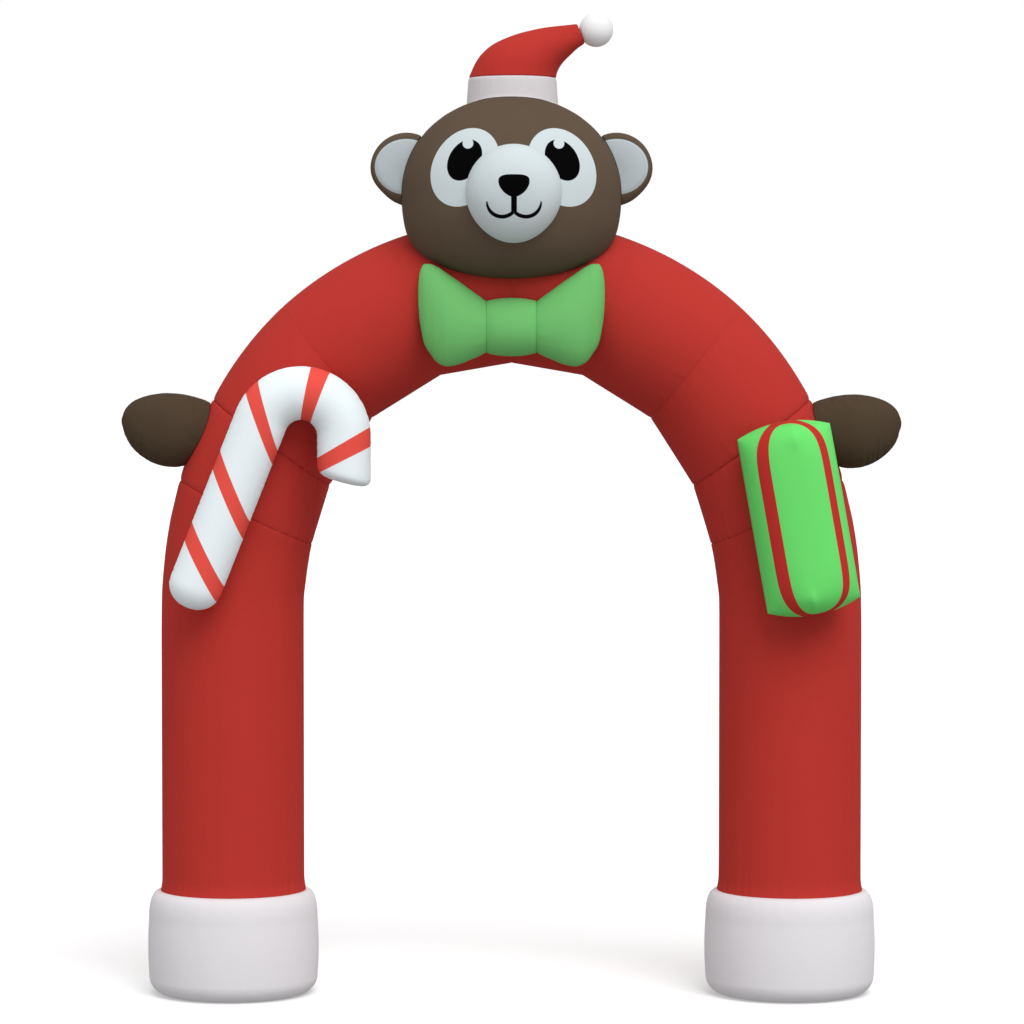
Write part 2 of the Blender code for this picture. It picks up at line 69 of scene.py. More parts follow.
# How each seam of SEAMS shows: drawn in on the outer and the inner side of the bend, puckered, with a
# groove, and how far under the cloth the painted shade of its crease lies
Stitching = namedtuple("Stitching", "outer inner pucker groove buried")
STITCHING = (
    Stitching(0.0040, 0.0019, 0.0012, 0.0003, 0.0005),
    Stitching(0.0042, 0.0020, 0.0012, 0.0003, 0.0004),
    Stitching(0.0003, 0.0010, 0.0005, 0.0001, 0.0011),
    Stitching(0.0001, 0.0002, 0.0002, 0.0, 0.0018),
    Stitching(0.0001, 0.0002, 0.0002, 0.0, 0.0018),
)
GROOVE_REACH = 0.006
LEG_X = 0.768
LEG_FLARE = 0.0045
FLARE_HEIGHT = 0.036
LEG_RINGS = (
    SEAMS[0],
    Ring(0.558, 1.196, 0.9390, 1.303),
    Ring(0.566, 1.140, 0.9545, 1.197),
    Ring(0.572, 1.080, 0.9620, 1.098),
    Ring(0.5725, 0.970, 0.9635, 0.975),
)

# Cuffs
CUFF_RADIUS = 0.232
CUFF_HEIGHT = 0.286
CUFF_FOOT_ROUND = 0.050
CUFF_SHOULDER_DROP = 0.075
CUFF_CROWN = 0.003
CUFF_SHOULDER_POWER = 2.4
CUFF_SEAM_BURIED = 0.002

# Head and what is sewn to it
HEAD_HALF_WIDTH = 0.298
HEAD_FRONT_DEPTH = 0.240
HEAD_BACK_DEPTH = 0.300
HEAD_RISE = 0.2655
HEAD_DROP = 0.238
HEAD_UPPER_POWER = 2.05
HEAD_LOWER_POWER = 2.7
HEAD_Z = 2.196
MUZZLE_X = 0.0063
MUZZLE_Z = 2.194
MUZZLE_RADIUS = 0.1282
MUZZLE_CHIN = 0.0075
MUZZLE_HALF_DEPTH = 0.112
MUZZLE_POWER = 2.1
EAR_X = 0.285
EAR_Z = 2.265
EAR_RADIUS = 0.099
EAR_HALF_DEPTH = 0.036
EAR_POWER = 2.3
EAR_CUT_WAY = math.radians(45)
EAR_CUT_HALF = 0.5

# Hat
HAT_X = 0.0025
BAND_TOP_Z = 2.517
BAND_FOOT_Z = 2.366
BAND_TOP_RADIUS = 0.1187
BAND_FOOT_RADIUS = 0.1295
Section = namedtuple("Section", "upper_x upper_z lower_x lower_z")
HAT_SECTIONS = (
    Section(-0.1162, 2.5170, 0.1212, 2.5170),
    Section(-0.1025, 2.5500, 0.1245, 2.5305),
    Section(-0.0855, 2.5775, 0.1293, 2.5418),
    Section(-0.0525, 2.6070, 0.1375, 2.5550),
    Section(-0.0090, 2.6280, 0.1492, 2.5682),
    Section(0.0305, 2.6410, 0.1620, 2.5805),
    Section(0.0964, 2.6550, 0.1822, 2.5990),
    Section(0.1500, 2.6610, 0.1935, 2.6065),
    Section(0.1789, 2.6641, 0.1993, 2.6112),
)
POMPOM_X = 0.2314
POMPOM_Z = 2.6480
POMPOM_RADIUS = 0.0465

# Pillows: height and thickness at stations out from their root
Pillow = namedtuple("Pillow", "out top_z bottom_z half_depth")
BOW_WING = (
    Pillow(0.0663, 1.904, 1.768, 0.050),
    Pillow(0.0820, 1.916, 1.759, 0.056),
    Pillow(0.1100, 1.936, 1.747, 0.062),
    Pillow(0.1430, 1.960, 1.734, 0.065),
    Pillow(0.1725, 1.980, 1.729, 0.062),
    Pillow(0.1995, 1.998, 1.739, 0.052),
    Pillow(0.2200, 2.006, 1.764, 0.041),
    Pillow(0.2346, 2.006, 1.788, 0.030),
    Pillow(0.2440, 1.993, 1.828, 0.020),
    Pillow(0.2500, 1.963, 1.878, 0.011),
    Pillow(0.2515, 1.920, 1.920, 0.000),
)
BOW_KNOT = (
    Pillow(0.000, 1.9145, 1.7565, 0.067),
    Pillow(0.025, 1.9135, 1.7575, 0.065),
    Pillow(0.050, 1.9100, 1.7610, 0.060),
    Pillow(0.066, 1.9065, 1.7655, 0.052),
)
MITT_REACH = 1.070
MITT_ROOT_OUT = 0.292
MITT_RIGHT_TILT = math.radians(1.3)
MITT = (
    Pillow(0.000, 1.577, 1.577, 0.000),
    Pillow(0.004, 1.594, 1.561, 0.012),
    Pillow(0.012, 1.612, 1.537, 0.026),
    Pillow(0.027, 1.628, 1.511, 0.042),
    Pillow(0.055, 1.642, 1.484, 0.061),
    Pillow(0.092, 1.651, 1.4635, 0.076),
    Pillow(0.122, 1.654, 1.4555, 0.083),
    Pillow(0.147, 1.653, 1.4535, 0.085),
    Pillow(0.172, 1.650, 1.4550, 0.084),
    Pillow(0.212, 1.641, 1.4640, 0.080),
    Pillow(0.252, 1.627, 1.4790, 0.074),
    Pillow(MITT_ROOT_OUT, 1.610, 1.497, 0.066),
)

# Candy cane, and where its red stripes cross its outer and its inner edge, from the foot on
CANE_RADIUS = 0.0722
CANE_HALF_DEPTH = 0.069
CANE_CROOK_X = -0.5656
CANE_CROOK_Z = 1.5426
CANE_CROOK_RADIUS = 0.1155
CANE_LEAN = math.radians(21.6)
CANE_SHAFT = 0.476
CANE_HOOK = 0.126
CANE_HOOK_SLANT = 0.26
CANE_FOOT_DOME = 0.066
CANE_HOOK_DOME = 0.036
CANE_FOOT_POWER = 2.1
CANE_HOOK_POWER = 3.2
CANE_SIDES = 112
Stripe = namedtuple("Stripe", "outer inner")
CANE_STRIPES = (
    Stripe(-0.105, -0.216),
    Stripe(0.132, 0.003),
    Stripe(0.334, 0.186),
    Stripe(0.524, 0.406),
    Stripe(0.646, 0.649),
    Stripe(0.797, 0.863),
    Stripe(1.050, 1.180),
)

# Gift box
GIFT_X = 0.772
GIFT_Z = 1.3215
GIFT_HALF_WIDTH = 0.127
GIFT_HALF_HEIGHT = 0.237
GIFT_HALF_DEPTH = 0.112
GIFT_END_CROWN = 0.027
GIFT_SIDE_POWER = 2.3
GIFT_END_POWER = 5
GIFT_LEAN = math.radians(10.1)
GIFT_TURN = math.radians(4.0)
GIFT_RIDGE = 0.013
GIFT_RIDGE_OFF = 0.10
GIFT_RIDGE_LEFT = 0.24
GIFT_RIDGE_RIGHT = 0.09
GIFT_RIDGE_HALF = 0.5
GIFT_RIDGE_POWER = 5
GIFT_RIDGE_UP = 0.87
GIFT_RIDGE_TALL = 0.10
GIFT_RIDGE_END_POWER = 12

# Puckers beside a seam: how far off they rise and die away, their least and most waves and their height
Gather = namedtuple("Gather", "rise reach least most height")
TUBE_GATHER = Gather(0.005, 0.030, 22, 58, 1.0)
CUFF_TOP_GATHER = Gather(0.010, 0.035, 14, 44, 0.0011)
CUFF_FOOT_GATHER = Gather(0.012, 0.030, 14, 40, 0.0009)
HEAD_GATHER = Gather(0.004, 0.022, 18, 46, 0.0009)
BAND_GATHER = Gather(0.004, 0.020, 20, 50, 0.0006)
CONE_GATHER = Gather(0.004, 0.022, 14, 42, 0.0008)
PILLOW_GATHER = Gather(0.007, 0.026, 16, 46, 1.0)
BOW_GATHER = Gather(0.010, 0.030, 7, 19, 0.0012)
MITT_GATHER = Gather(0.016, 0.034, 16, 44, 0.0034)
CANE_GATHER = Gather(0.005, 0.020, 14, 44, 0.0007)

# Depths: the arch's middle plane and how far ahead of it each piece's middle lies
MUZZLE_AHEAD = 0.318
ARCH_Y = (MUZZLE_AHEAD + MUZZLE_HALF_DEPTH - CUFF_RADIUS - CUFF_CROWN) / 2
HEAD_Y = ARCH_Y - 0.110
HAT_Y = ARCH_Y - 0.020
MUZZLE_Y = ARCH_Y - MUZZLE_AHEAD
EAR_Y = ARCH_Y - 0.096
BOW_Y = ARCH_Y - 0.215
MITT_Y = ARCH_Y - 0.020
CANE_Y = ARCH_Y - 0.257
GIFT_Y = ARCH_Y - 0.262

# Cloth colours
RED = (0.51, 0.041, 0.032)
CUFF_WHITE = (0.80, 0.775, 0.80)
BAND_WHITE = (0.73, 0.695, 0.715)
POMPOM_WHITE = (0.90, 0.90, 0.91)
BROWN = (0.120, 0.085, 0.058)
DARK_BROWN = (0.078, 0.053, 0.033)
FACE_WHITE = (0.64, 0.71, 0.725)
EAR_WHITE = (0.51, 0.565, 0.590)
BOW_GREEN = (0.182, 0.550, 0.172)
GIFT_GREEN = (0.165, 0.76, 0.170)
CANE_WHITE = (0.87, 0.94, 0.965)
STRIPE_RED = (0.84, 0.095, 0.072)
RIBBON_RED = (0.53, 0.036, 0.028)
BLACK = (0.0008, 0.0008, 0.0008)


# Arrays

SMALL = 1e-9


def turns(count):
    """Angles of a full turn, count of them."""
    return 2 * math.pi * np.arange(count) / count


def crowded(count, share=0.6):
    """Numbers from 0 to 1, closer together near both ends: a straight run mixed with a half cosine."""
    even = np.linspace(0, 1, count)
    return (1 - share) * even + share * (0.5 - 0.5 * np.cos(math.pi * even))


def smooth_through(x, knots, values):
    """Curves through rows of values at knots: cubic Hermite pieces whose slopes are harmonic means, so
    that no curve swings past its values."""
    knots, values = np.asarray(knots, float), np.asarray(values, float)
    step = np.diff(knots)[:, None]
    rise = np.diff(values, axis=0) / step
    before, after = rise[:-1], rise[1:]
    near, far = 2 * step[1:] + step[:-1], step[1:] + 2 * step[:-1]
    slope = np.empty_like(values)
    slope[0], slope[-1] = rise[0], rise[-1]
    agree = before * after > 0
    safe_before, safe_after = np.where(agree, before, 1), np.where(agree, after, 1)
    slope[1:-1] = np.where(agree, (near + far) / (near / safe_before + far / safe_after), 0)
    i = np.clip(np.searchsorted(knots, x) - 1, 0, len(knots) - 2)
    t = np.clip((np.asarray(x) - knots[i]) / step[i, 0], 0, 1)[:, None]
    start = (1 + 2 * t) * (1 - t) ** 2 * values[i] + t * (1 - t) ** 2 * step[i] * slope[i]
    end = t**2 * (3 - 2 * t) * values[i + 1] - t**2 * (1 - t) * step[i] * slope[i + 1]
    return start + end


def smooth_least(a, b, width):
    """The lesser of two arrays, rounded over a width where they cross."""
    return (a + b - np.sqrt((a - b) ** 2 + width**2)) / 2


def pushed_out(reach, wall, width=ROUND_OFF):
    """reach where it lies beyond wall, else wall, rounded over a width where they meet."""
    beyond = reach - wall
    return wall + (beyond + np.sqrt(beyond**2 + width**2)) / 2


def drawn_in(distance, reach=PINCH_REACH):
    """0 at a seam, rising as a quarter circle to 1 at reach: how a skin rounds up from its stitching."""
    return np.sqrt(1 - (1 - np.clip(distance / reach, 0, 1)) ** 2)


def puckers(seed, along, least, most):
    """Uneven ripples of about unit height along a seam: six cosines of random wave numbers and phases."""
    rng = np.random.default_rng(seed)
    waves = rng.integers(least, most, size=6)
    phases = rng.uniform(0, 2 * math.pi, size=6)
    return np.cos(np.multiply.outer(along, waves) + phases).sum(axis=-1) / math.sqrt(6)


def fading(distance, rise, reach):
    """The height of puckers at a distance from their seam: none in the stitching, then dying away."""
    return (1 - np.exp(-distance / rise)) * np.exp(-distance / reach)


def gathers(away, along, seed, gather):
    """Puckers beside a seam: ripples along it, at each point's distance away from it."""
    ripples = fading(away, gather.rise, gather.reach) * puckers(seed, along, gather.least, gather.most)
    return ripples * gather.height


def groove(away, deep, reach):
    """The depth of a seam's groove at a distance from it: a bell curve."""
    return deep * np.exp(-((away / reach) ** 2))


def units(arrows):
    """Arrows brought to unit length."""
    return arrows / np.maximum(np.linalg.norm(arrows, axis=-1, keepdims=True), SMALL)


def skin_normals(rings):
    """Unit normals of closed rings, from the cross product of the two differences of their grid."""
    around = np.roll(rings, -1, axis=1) - np.roll(rings, 1, axis=1)
    return units(np.cross(around, np.gradient(rings, axis=0)))


def level_rings(x, y, reach, level):
    """Level rings about an upright axis, with a reach for every row and angle and a level for every row."""
    angle = turns(reach.shape[1])
    return np.stack((x + reach * np.cos(angle), y - reach * np.sin(angle),
                     np.broadcast_to(level[:, None], reach.shape)), axis=-1)


def summed(steps):
    """Distance from the first point after each of a row of steps."""
    return np.concatenate(((0.0,), np.cumsum(steps)))


def run_lengths(rings):
    """Distance along the rows from the first, averaged over each ring."""
    return summed(np.linalg.norm(np.diff(rings, axis=0), axis=-1).mean(axis=1))


def mean_girth(rings):
    """The length of a ring, averaged over all of them."""
    return np.linalg.norm(rings - np.roll(rings, 1, axis=1), axis=-1).sum(axis=1).mean()


# Meshes

SHARP_EDGE = math.radians(48)


def faces_outward(points, faces):
    """The faces, turned round together if the volume that they enclose comes out negative."""
    middle = points.mean(axis=0)
    volume = 0.0
    for group in faces:
        corners = points[group] - middle
        for k in range(1, group.shape[1] - 1):
            volume += np.einsum("ij,ij->", corners[:, 0], np.cross(corners[:, k], corners[:, k + 1]))
    return faces if volume > 0 else [group[:, ::-1] for group in faces]


def quads(grid):
    """The four corners of every cell of a grid of numbers."""
    corners = (grid[:-1, :-1], grid[:-1, 1:], grid[1:, 1:], grid[1:, :-1])
    return np.stack(corners, axis=-1).reshape(-1, 4)


def skin(name, rings, first=None, last=None, maps=None):
    """A closed body over a stack of rings, fanned to a pole at each end: the given one, or the middle of
    the end ring. Its cloth map runs around and along in metres, from the mean girth and run. A map has
    one column more than the rings, for the edge where it closes."""
    rows, sides = rings.shape[:2]
    first = rings[0].mean(axis=0) if first is None else np.asarray(first, float)
    last = rings[-1].mean(axis=0) if last is None else np.asarray(last, float)
    along = np.repeat(run_lengths(rings)[:, None], sides + 1, axis=1)
    around = np.repeat(np.linspace(0, mean_girth(rings), sides + 1)[None], rows, axis=0)
    flat = {"cloth": np.stack((around, along), axis=-1)}
    flat.update(maps or {})
    wide = np.concatenate((rings, rings[:, :1]), axis=1)
    seen = np.arange(rows * (sides + 1)).reshape(rows, sides + 1)
    kept = np.arange(rows * sides).reshape(rows, sides)
    kept = np.concatenate((kept, kept[:, :1]), axis=1)
    low_pole, high_pole = wide[..., 0].size, wide[..., 0].size + 1
    low = np.stack((seen[0, 1:], seen[0, :-1], np.full(sides, low_pole)), axis=-1)
    high = np.stack((seen[-1, :-1], seen[-1, 1:], np.full(sides, high_pole)), axis=-1)
    weld = np.concatenate((kept.ravel(), (rows * sides, rows * sides + 1)))
    points = np.concatenate((rings.reshape(-1, 3), (first, last)))
    places = {}
    for label, grid in flat.items():
        ends = np.stack((grid[0].mean(axis=0), grid[-1].mean(axis=0)))
        places[label] = np.concatenate((grid.reshape(-1, 2), ends))
    return welded(name, points, weld, [quads(seen), low, high], places)


def welded(name, points, weld, faces, places):
    """An object whose faces name map corners, and weld names each corner's own point."""
    mesh = bpy.data.meshes.new(name)
    solid = [weld[group] for group in faces]
    turned = faces_outward(points, solid)
    if turned is not solid:
        faces, solid = [group[:, ::-1] for group in faces], turned
    mesh.from_pydata(points.tolist(), [], [face for group in solid for face in group.tolist()])
    corners = np.concatenate([group.ravel() for group in faces])
    for label, place in places.items():
        layer = mesh.uv_layers.new(name=label)
        layer.data.foreach_set("uv", place[corners].astype(np.float32).ravel())
    mesh.shade_smooth()
    mesh.set_sharp_from_angle(angle=SHARP_EDGE)
    made = bpy.data.objects.new(name, mesh)
    bpy.context.scene.collection.objects.link(made)
    return made


def pillow(name, front, back, maps):
    """A closed body from two grids that share their border, with a flat map for each grid's points."""
    rows, columns = front.shape[:2]
    near = np.arange(rows * columns).reshape(rows, columns)
    far = near + rows * columns
    weld = np.arange(2 * rows * columns)
    rim = np.ones((rows, columns), bool)
    rim[1:-1, 1:-1] = False
    weld[far[rim]] = near[rim]
    used, weld = np.unique(weld, return_inverse=True)
    points = np.concatenate((front.reshape(-1, 3), back.reshape(-1, 3)))[used]
    places = {label: np.tile(grid.reshape(-1, 2), (2, 1)) for label, grid in maps.items()}
    return welded(name, points, weld, [quads(near)[:, ::-1], quads(far)], places)


# Neighbours that a piece is pressed on

def ring_arrays(rings, outer_swell, inner_swell, ripple):
    """Ellipses through each ring's inner and outer point, as deep as the tube is round, grown by a swell
    that goes from its outer to its inner value as (1 + cos) / 2 does, and by a ripple."""
    rings = np.asarray(rings, float)
    inner, outer = rings[:, None, :2], rings[:, None, 2:]
    middle, reach = (inner + outer) / 2, (outer - inner) / 2
    radius = np.linalg.norm(reach, axis=-1)
    across = reach / radius[..., None]
    angle = turns(ripple.shape[1])[None]
    outward = (1 + np.cos(angle)) / 2
    fuller = outer_swell[:, None] * outward + inner_swell[:, None] * (1 - outward) + ripple
    side = (radius + fuller) * np.cos(angle)
    x = middle[..., 0] + across[..., 0] * side
    z = middle[..., 1] + across[..., 1] * side
    y = ARCH_Y - (TUBE_RADIUS + fuller) * np.sin(angle)
    return np.stack((x, y, z), axis=-1)


Rings = namedtuple("Rings", "points before after outer inner")


def pinches(distance, stitching):
    """How far a seam draws its neighbourhood in, on the outer and on the inner side of the bend."""
    free = 1 - drawn_in(distance)
    line = stitching.groove * (1 - drawn_in(distance, GROOVE_REACH))
    return stitching.outer * free + line, stitching.inner * free + line


def panel_shape(k, count):
    """Panel k's rings, their distances to its two seams and their swell: outside, a shallow arc between
    the seams on top of the round shoulder beside each."""
    share = crowded(count)
    low, high = np.array(SEAMS[k]), np.array(SEAMS[k + 1])
    chord = np.linalg.norm(high[2:] - low[2:])
    before, after = share * chord, (1 - share) * chord
    low_outer, low_inner = pinches(before, STITCHING[k])
    high_outer, high_inner = pinches(after, STITCHING[k + 1])
    arc = 4 * share * (1 - share) * chord**2 / (8 * OUTER_ARC_RADIUS)
    outer = arc + SEAM_PINCH - low_outer - high_outer
    return Rings(low + (high - low) * share[:, None], before, after, outer, -low_inner - high_inner)


def leg_shape(count):
    """A leg's rings from its elbow seam down to its cuff, their distances to both seams and their swell.
    The fullness beside the elbow seam dies away down the leg as a bell curve."""
    foot = CUFF_HEIGHT + SEAM_GAP
    straight = Ring(LEG_X - TUBE_RADIUS, foot, LEG_X + TUBE_RADIUS, foot)
    knots = [*LEG_RINGS, straight]
    runs = summed(np.hypot(*np.diff(np.array(knots)[:, 2:], axis=0).T))
    down = crowded(count, 0.35) * runs[-1]
    rings = smooth_through(down, runs, knots)
    fullness = groove(down, SEAM_PINCH, SHOULDER_REACH)
    outer, inner = pinches(down, STITCHING[0])
    return Rings(rings, down, runs[-1] - down, fullness - outer, -inner)


# Rows of the line that stands for the tube, how far from its middle a ring's plane counts, and how much
# worse a plane counts beyond that
LINE_LEG_ROWS = 120
LINE_PANEL_ROWS = 36
PLANE_REACH = 0.45
FAR_PENALTY = 10


def tube_line():
    """The rings of the whole tube from foot to foot, for pressing pieces on it: the middle, the direction
    across, the direction along, half the width and the outer swell of each."""
    leg = leg_shape(LINE_LEG_ROWS)
    rings, swells = [leg.points[::-1]], [leg.outer[::-1]]
    for k in range(len(PANELS)):
        panel = panel_shape(k, LINE_PANEL_ROWS)
        rings.append(panel.points)
        swells.append(panel.outer)
    right, swell = np.concatenate(rings), np.concatenate(swells)
    left = right[::-1] * np.array((-1, 1, -1, 1))
    rings, swell = np.concatenate((right, left)), np.concatenate((swell, swell[::-1]))
    middle, reach = (rings[:, :2] + rings[:, 2:]) / 2, (rings[:, 2:] - rings[:, :2]) / 2
    width = np.linalg.norm(reach, axis=1)
    across = reach / width[:, None]
    return middle, across, np.stack((-across[:, 1], across[:, 0]), axis=1), width, swell


TUBE_LINE = tube_line()


def round_tube(points):
    """For each point: its ring on the tube, its place across and ahead in that ring's plane, its distance
    from the ring's middle, and the tube's radius that way."""
    middle, across, along, width, swell = TUBE_LINE
    flat = points[:, (0, 2)]
    offset = flat[:, None] - middle[None]
    off_plane = np.abs(np.einsum("pkc,kc->pk", offset, along))
    too_far = np.clip(np.linalg.norm(offset, axis=-1) - PLANE_REACH, 0, None)
    k = (off_plane + FAR_PENALTY * too_far).argmin(axis=1)
    side = np.einsum("pc,pc->p", flat - middle[k], across[k])
    ahead = ARCH_Y - points[:, 1]
    distance = np.maximum(np.hypot(side, ahead), SMALL)
    cosine, sine = side / distance, ahead / distance
    fuller = swell[k] * (1 + cosine) / 2
    radius = np.hypot((width[k] + fuller) * cosine, (TUBE_RADIUS + fuller) * sine)
    return k, side, ahead, distance, radius


def off_tube(points, gap=TOUCH):
    """Points pushed out of the tube, each straight away from the middle of its ring."""
    shape = points.shape
    points = points.reshape(-1, 3)
    k, side, ahead, distance, radius = round_tube(points)
    scale = pushed_out(distance, radius + gap) / distance - 1
    middle, across = TUBE_LINE[:2]
    moved = points.copy()
    moved[:, (0, 2)] += across[k] * (side * scale)[:, None]
    moved[:, 1] -= ahead * scale
    return moved.reshape(shape)


WALL_STEPS = 9
LEAST_SLOPE = 0.4


def beside_tube(points, side, gap=TOUCH):
    """Points pushed out of the tube along x alone, so that a pillow on the given side keeps its outline
    down to its root. The wall is found by steps of what is lacking, over the slope of the wall there."""
    probe = points.reshape(-1, 3).copy()
    for _ in range(WALL_STEPS):
        _, across, _, distance, radius = round_tube(probe)
        slope = np.maximum(np.abs(across) / distance, LEAST_SLOPE)
        probe[:, 0] += side * (radius + gap - distance) / slope
    moved = points.copy()
    wall = side * probe[:, 0].reshape(points.shape[:-1])
    moved[..., 0] = side * pushed_out(side * points[..., 0], wall)
    return moved


def head_reach(x, y, z):
    """The head's implicit shape, 1 on its skin: a superellipse of height over level ellipses, with one
    power above its widest level and another below, and one depth ahead of its middle and another behind."""
    up = z > 0
    power = np.where(up, HEAD_UPPER_POWER, HEAD_LOWER_POWER)
    height = np.abs(z) / np.where(up, HEAD_RISE, HEAD_DROP)
    depth = np.where(y < 0, HEAD_FRONT_DEPTH, HEAD_BACK_DEPTH)
    level = np.sqrt((x / HEAD_HALF_WIDTH) ** 2 + (y / depth) ** 2)
    return (level**power + height**power) ** (1 / power)


WALL_HALVINGS = 30
LEAST_REACH = 1e-4


def off_head(points, axis, gap=TOUCH):
    """Points pushed out of the head along one axis, away from its middle, so that a piece keeps its
    outline. The wall that way is found by halving."""
    points = points.copy()
    place = points - np.array((0, HEAD_Y, HEAD_Z))
    sign = np.where(place[..., axis] < 0, -1.0, 1.0) if axis != 2 else np.ones(place.shape[:-1])
    low, high = np.zeros(place.shape[:-1]), np.full(place.shape[:-1], HEAD_HALF_WIDTH)
    trial = place.copy()
    for _ in range(WALL_HALVINGS):
        half = (low + high) / 2
        trial[..., axis] = half * sign
        inside = head_reach(trial[..., 0], trial[..., 1], trial[..., 2]) < 1
        low, high = np.where(inside, half, low), np.where(inside, high, half)
    reach = pushed_out(place[..., axis] * sign, low + gap)
    met = low > LEAST_REACH
    points[..., axis] = np.where(met, (0, HEAD_Y, HEAD_Z)[axis] + reach * sign, points[..., axis])
    return points


# Shader expressions

class Value:
    """A number socket that takes part in Python arithmetic: each operation adds a Math node."""

    def __init__(self, finish, socket):
        self.finish = finish
        self.socket = socket

    def math(self, operation, *others, clamp=False):
        """This value and others through one Math node."""
        settings = {"operation": operation, "use_clamp": clamp}
        return self.finish.node("ShaderNodeMath", settings, dict(enumerate((self, *others))))

    def __add__(self, other):
        return self.math("ADD", other)

    __radd__ = __add__

    def __sub__(self, other):
        return self.math("SUBTRACT", other)

    def __rsub__(self, other):
        return self.math("MULTIPLY_ADD", -1.0, other)

    def __mul__(self, other):
        return self.math("MULTIPLY", other)

    __rmul__ = __mul__

    def __truediv__(self, other):
        return self.math("DIVIDE", other)

    def __pow__(self, other):
        return self.math("POWER", other)

    def size(self):
        """Its distance from 0."""
        return self.math("ABSOLUTE")

    def wave(self):
        """Its sine."""
        return self.math("SINE")

    def least(self, other):
        """The lesser of two."""
        return self.math("MINIMUM", other)

    def most(self, other):
        """The greater of two."""
        return self.math("MAXIMUM", other)

    def held(self):
        """Itself, kept from 0 to 1."""
        return self.math("ADD", 0.0, clamp=True)

    def below(self, edge, blur):
        """1 where it is under an edge, 0 over it, with a soft change as wide as blur."""
        return ((edge - self) / blur + 0.5).held()


class Finish:
    """A cloth finish being built on one Principled shader."""

    def __init__(self, name):
        self.material = bpy.data.materials.new(name)
        self.material.use_nodes = True
        self.tree = self.material.node_tree
        self.shader = self.tree.nodes["Principled BSDF"]
        self.shader.inputs["Roughness"].default_value = CLOTH_ROUGHNESS
        self.shader.inputs["Specular IOR Level"].default_value = CLOTH_GLOSS

    def node(self, kind, settings=None, sockets=None, out=0):
        """Any node: its settings go first, then the values or links of its sockets."""
        made = self.tree.nodes.new(kind)
        for key, setting in (settings or {}).items():
            setattr(made, key, setting)
        for key, value in (sockets or {}).items():
            if isinstance(value, Value):
                self.tree.links.new(value.socket, made.inputs[key])
            else:
                made.inputs[key].default_value = value
        return Value(self, made.outputs[out])

    def place(self):
        """The x, y and z of the point, in metres in the object's own space."""
        where = self.node("ShaderNodeTexCoord", out="Object")
        return [self.node("ShaderNodeSeparateXYZ", None, {0: where}, out=k) for k in range(3)]

    def spot(self, label):
        """The two numbers of one of the mesh's own maps."""
        where = self.node("ShaderNodeUVMap", {"uv_map": label})
        return [self.node("ShaderNodeSeparateXYZ", None, {0: where}, out=k) for k in range(2)]

    def clouds(self, scale, detail):
        """Soft noise from 0 to 1, so many to the metre, drawn out upwards."""
        where = self.node("ShaderNodeTexCoord", out="Object")
        sized = self.node("ShaderNodeMapping", None, {"Vector": where, "Scale": STREAKS})
        return self.node("ShaderNodeTexNoise", None, {"Vector": sized, "Scale": scale, "Detail": detail})

    def mix(self, share, first, second, blend="MIX"):
        """Two colours blended: by default the given share of the way from the first to the second."""
        made = self.tree.nodes.new("ShaderNodeMix")
        made.data_type = "RGBA"
        made.blend_type = blend
        for key, value in (("Factor", share), ("A", first), ("B", second)):
            kind = "VALUE" if key == "Factor" else "RGBA"
            socket = next(s for s in made.inputs if s.name == key and s.type == kind)
            if isinstance(value, Value):
                self.tree.links.new(value.socket, socket)
            else:
                socket.default_value = value if key == "Factor" else (*value, 1.0)
        return Value(self, next(s for s in made.outputs if s.type == "RGBA"))

    def feed(self, name, value):
        """Joins a value to one of the shader's own sockets."""
        self.tree.links.new(value.socket, self.shader.inputs[name])


CLOTH_GLOSS = 0.04
CLOTH_ROUGHNESS = 0.80
ROUGHNESS_SWING = 0.16
THREADS = 1100
WEAVE_DEPTH = 0.00012
CRINKLES = 14.0
CRINKLE_DEPTH = 0.0016
TONES = 9.0
UNEVENNESS = 0.10
STREAKS = (1, 1, 0.25)
STITCH_OFF = 0.007
STITCH_HALF = 0.0006
STITCH_LENGTH = 0.0045
STITCH_SHARE = 0.22
# Painted shade along each seam's crease: its half width, blur and share; then how dark both the stitching
# and that painted shade are against the cloth's colour
CREASE_SHADE_HALF = 0.0008
CREASE_SHADE_BLUR = 0.0012
CREASE_SHADE_SHARE = 0.20
THREAD_AND_PAINTED_CREASE_SHADE = 0.35


def weave(finish):
    """Height of a plain weave from the cloth map: threads cross as the product of two sines."""
    around, along = finish.spot("cloth")
    return (around * (math.pi * THREADS)).wave() * (along * (math.pi * THREADS)).wave()


def stitches_and_crease_shade(finish, colour):
    """The seam's crease darkened as painted shade, and a row of stitching beside it, from the seam map:
    short dashes of darker threads."""
    off, run = finish.spot("seam")
    row = (off - STITCH_OFF).size().below(STITCH_HALF, STITCH_HALF)
    dash = (run * (2 * math.pi / STITCH_LENGTH)).wave().below(0.5, 0.4)
    # Painted shade: the cloth's colour darkened along the seam's crease, where shade falls
    crease = off.below(CREASE_SHADE_HALF, CREASE_SHADE_BLUR)
    return (row * dash * STITCH_SHARE).most(crease * CREASE_SHADE_SHARE), tuple(THREAD_AND_PAINTED_CREASE_SHADE * c for c in colour)


def bumped(finish, depth, height, **under):
    """The normal of a surface that rises by a height times a depth in metres, over another normal if one
    is given."""
    sockets = {"Strength": 1.0, "Distance": depth, "Height": height, **under}
    return finish.node("ShaderNodeBump", None, sockets)


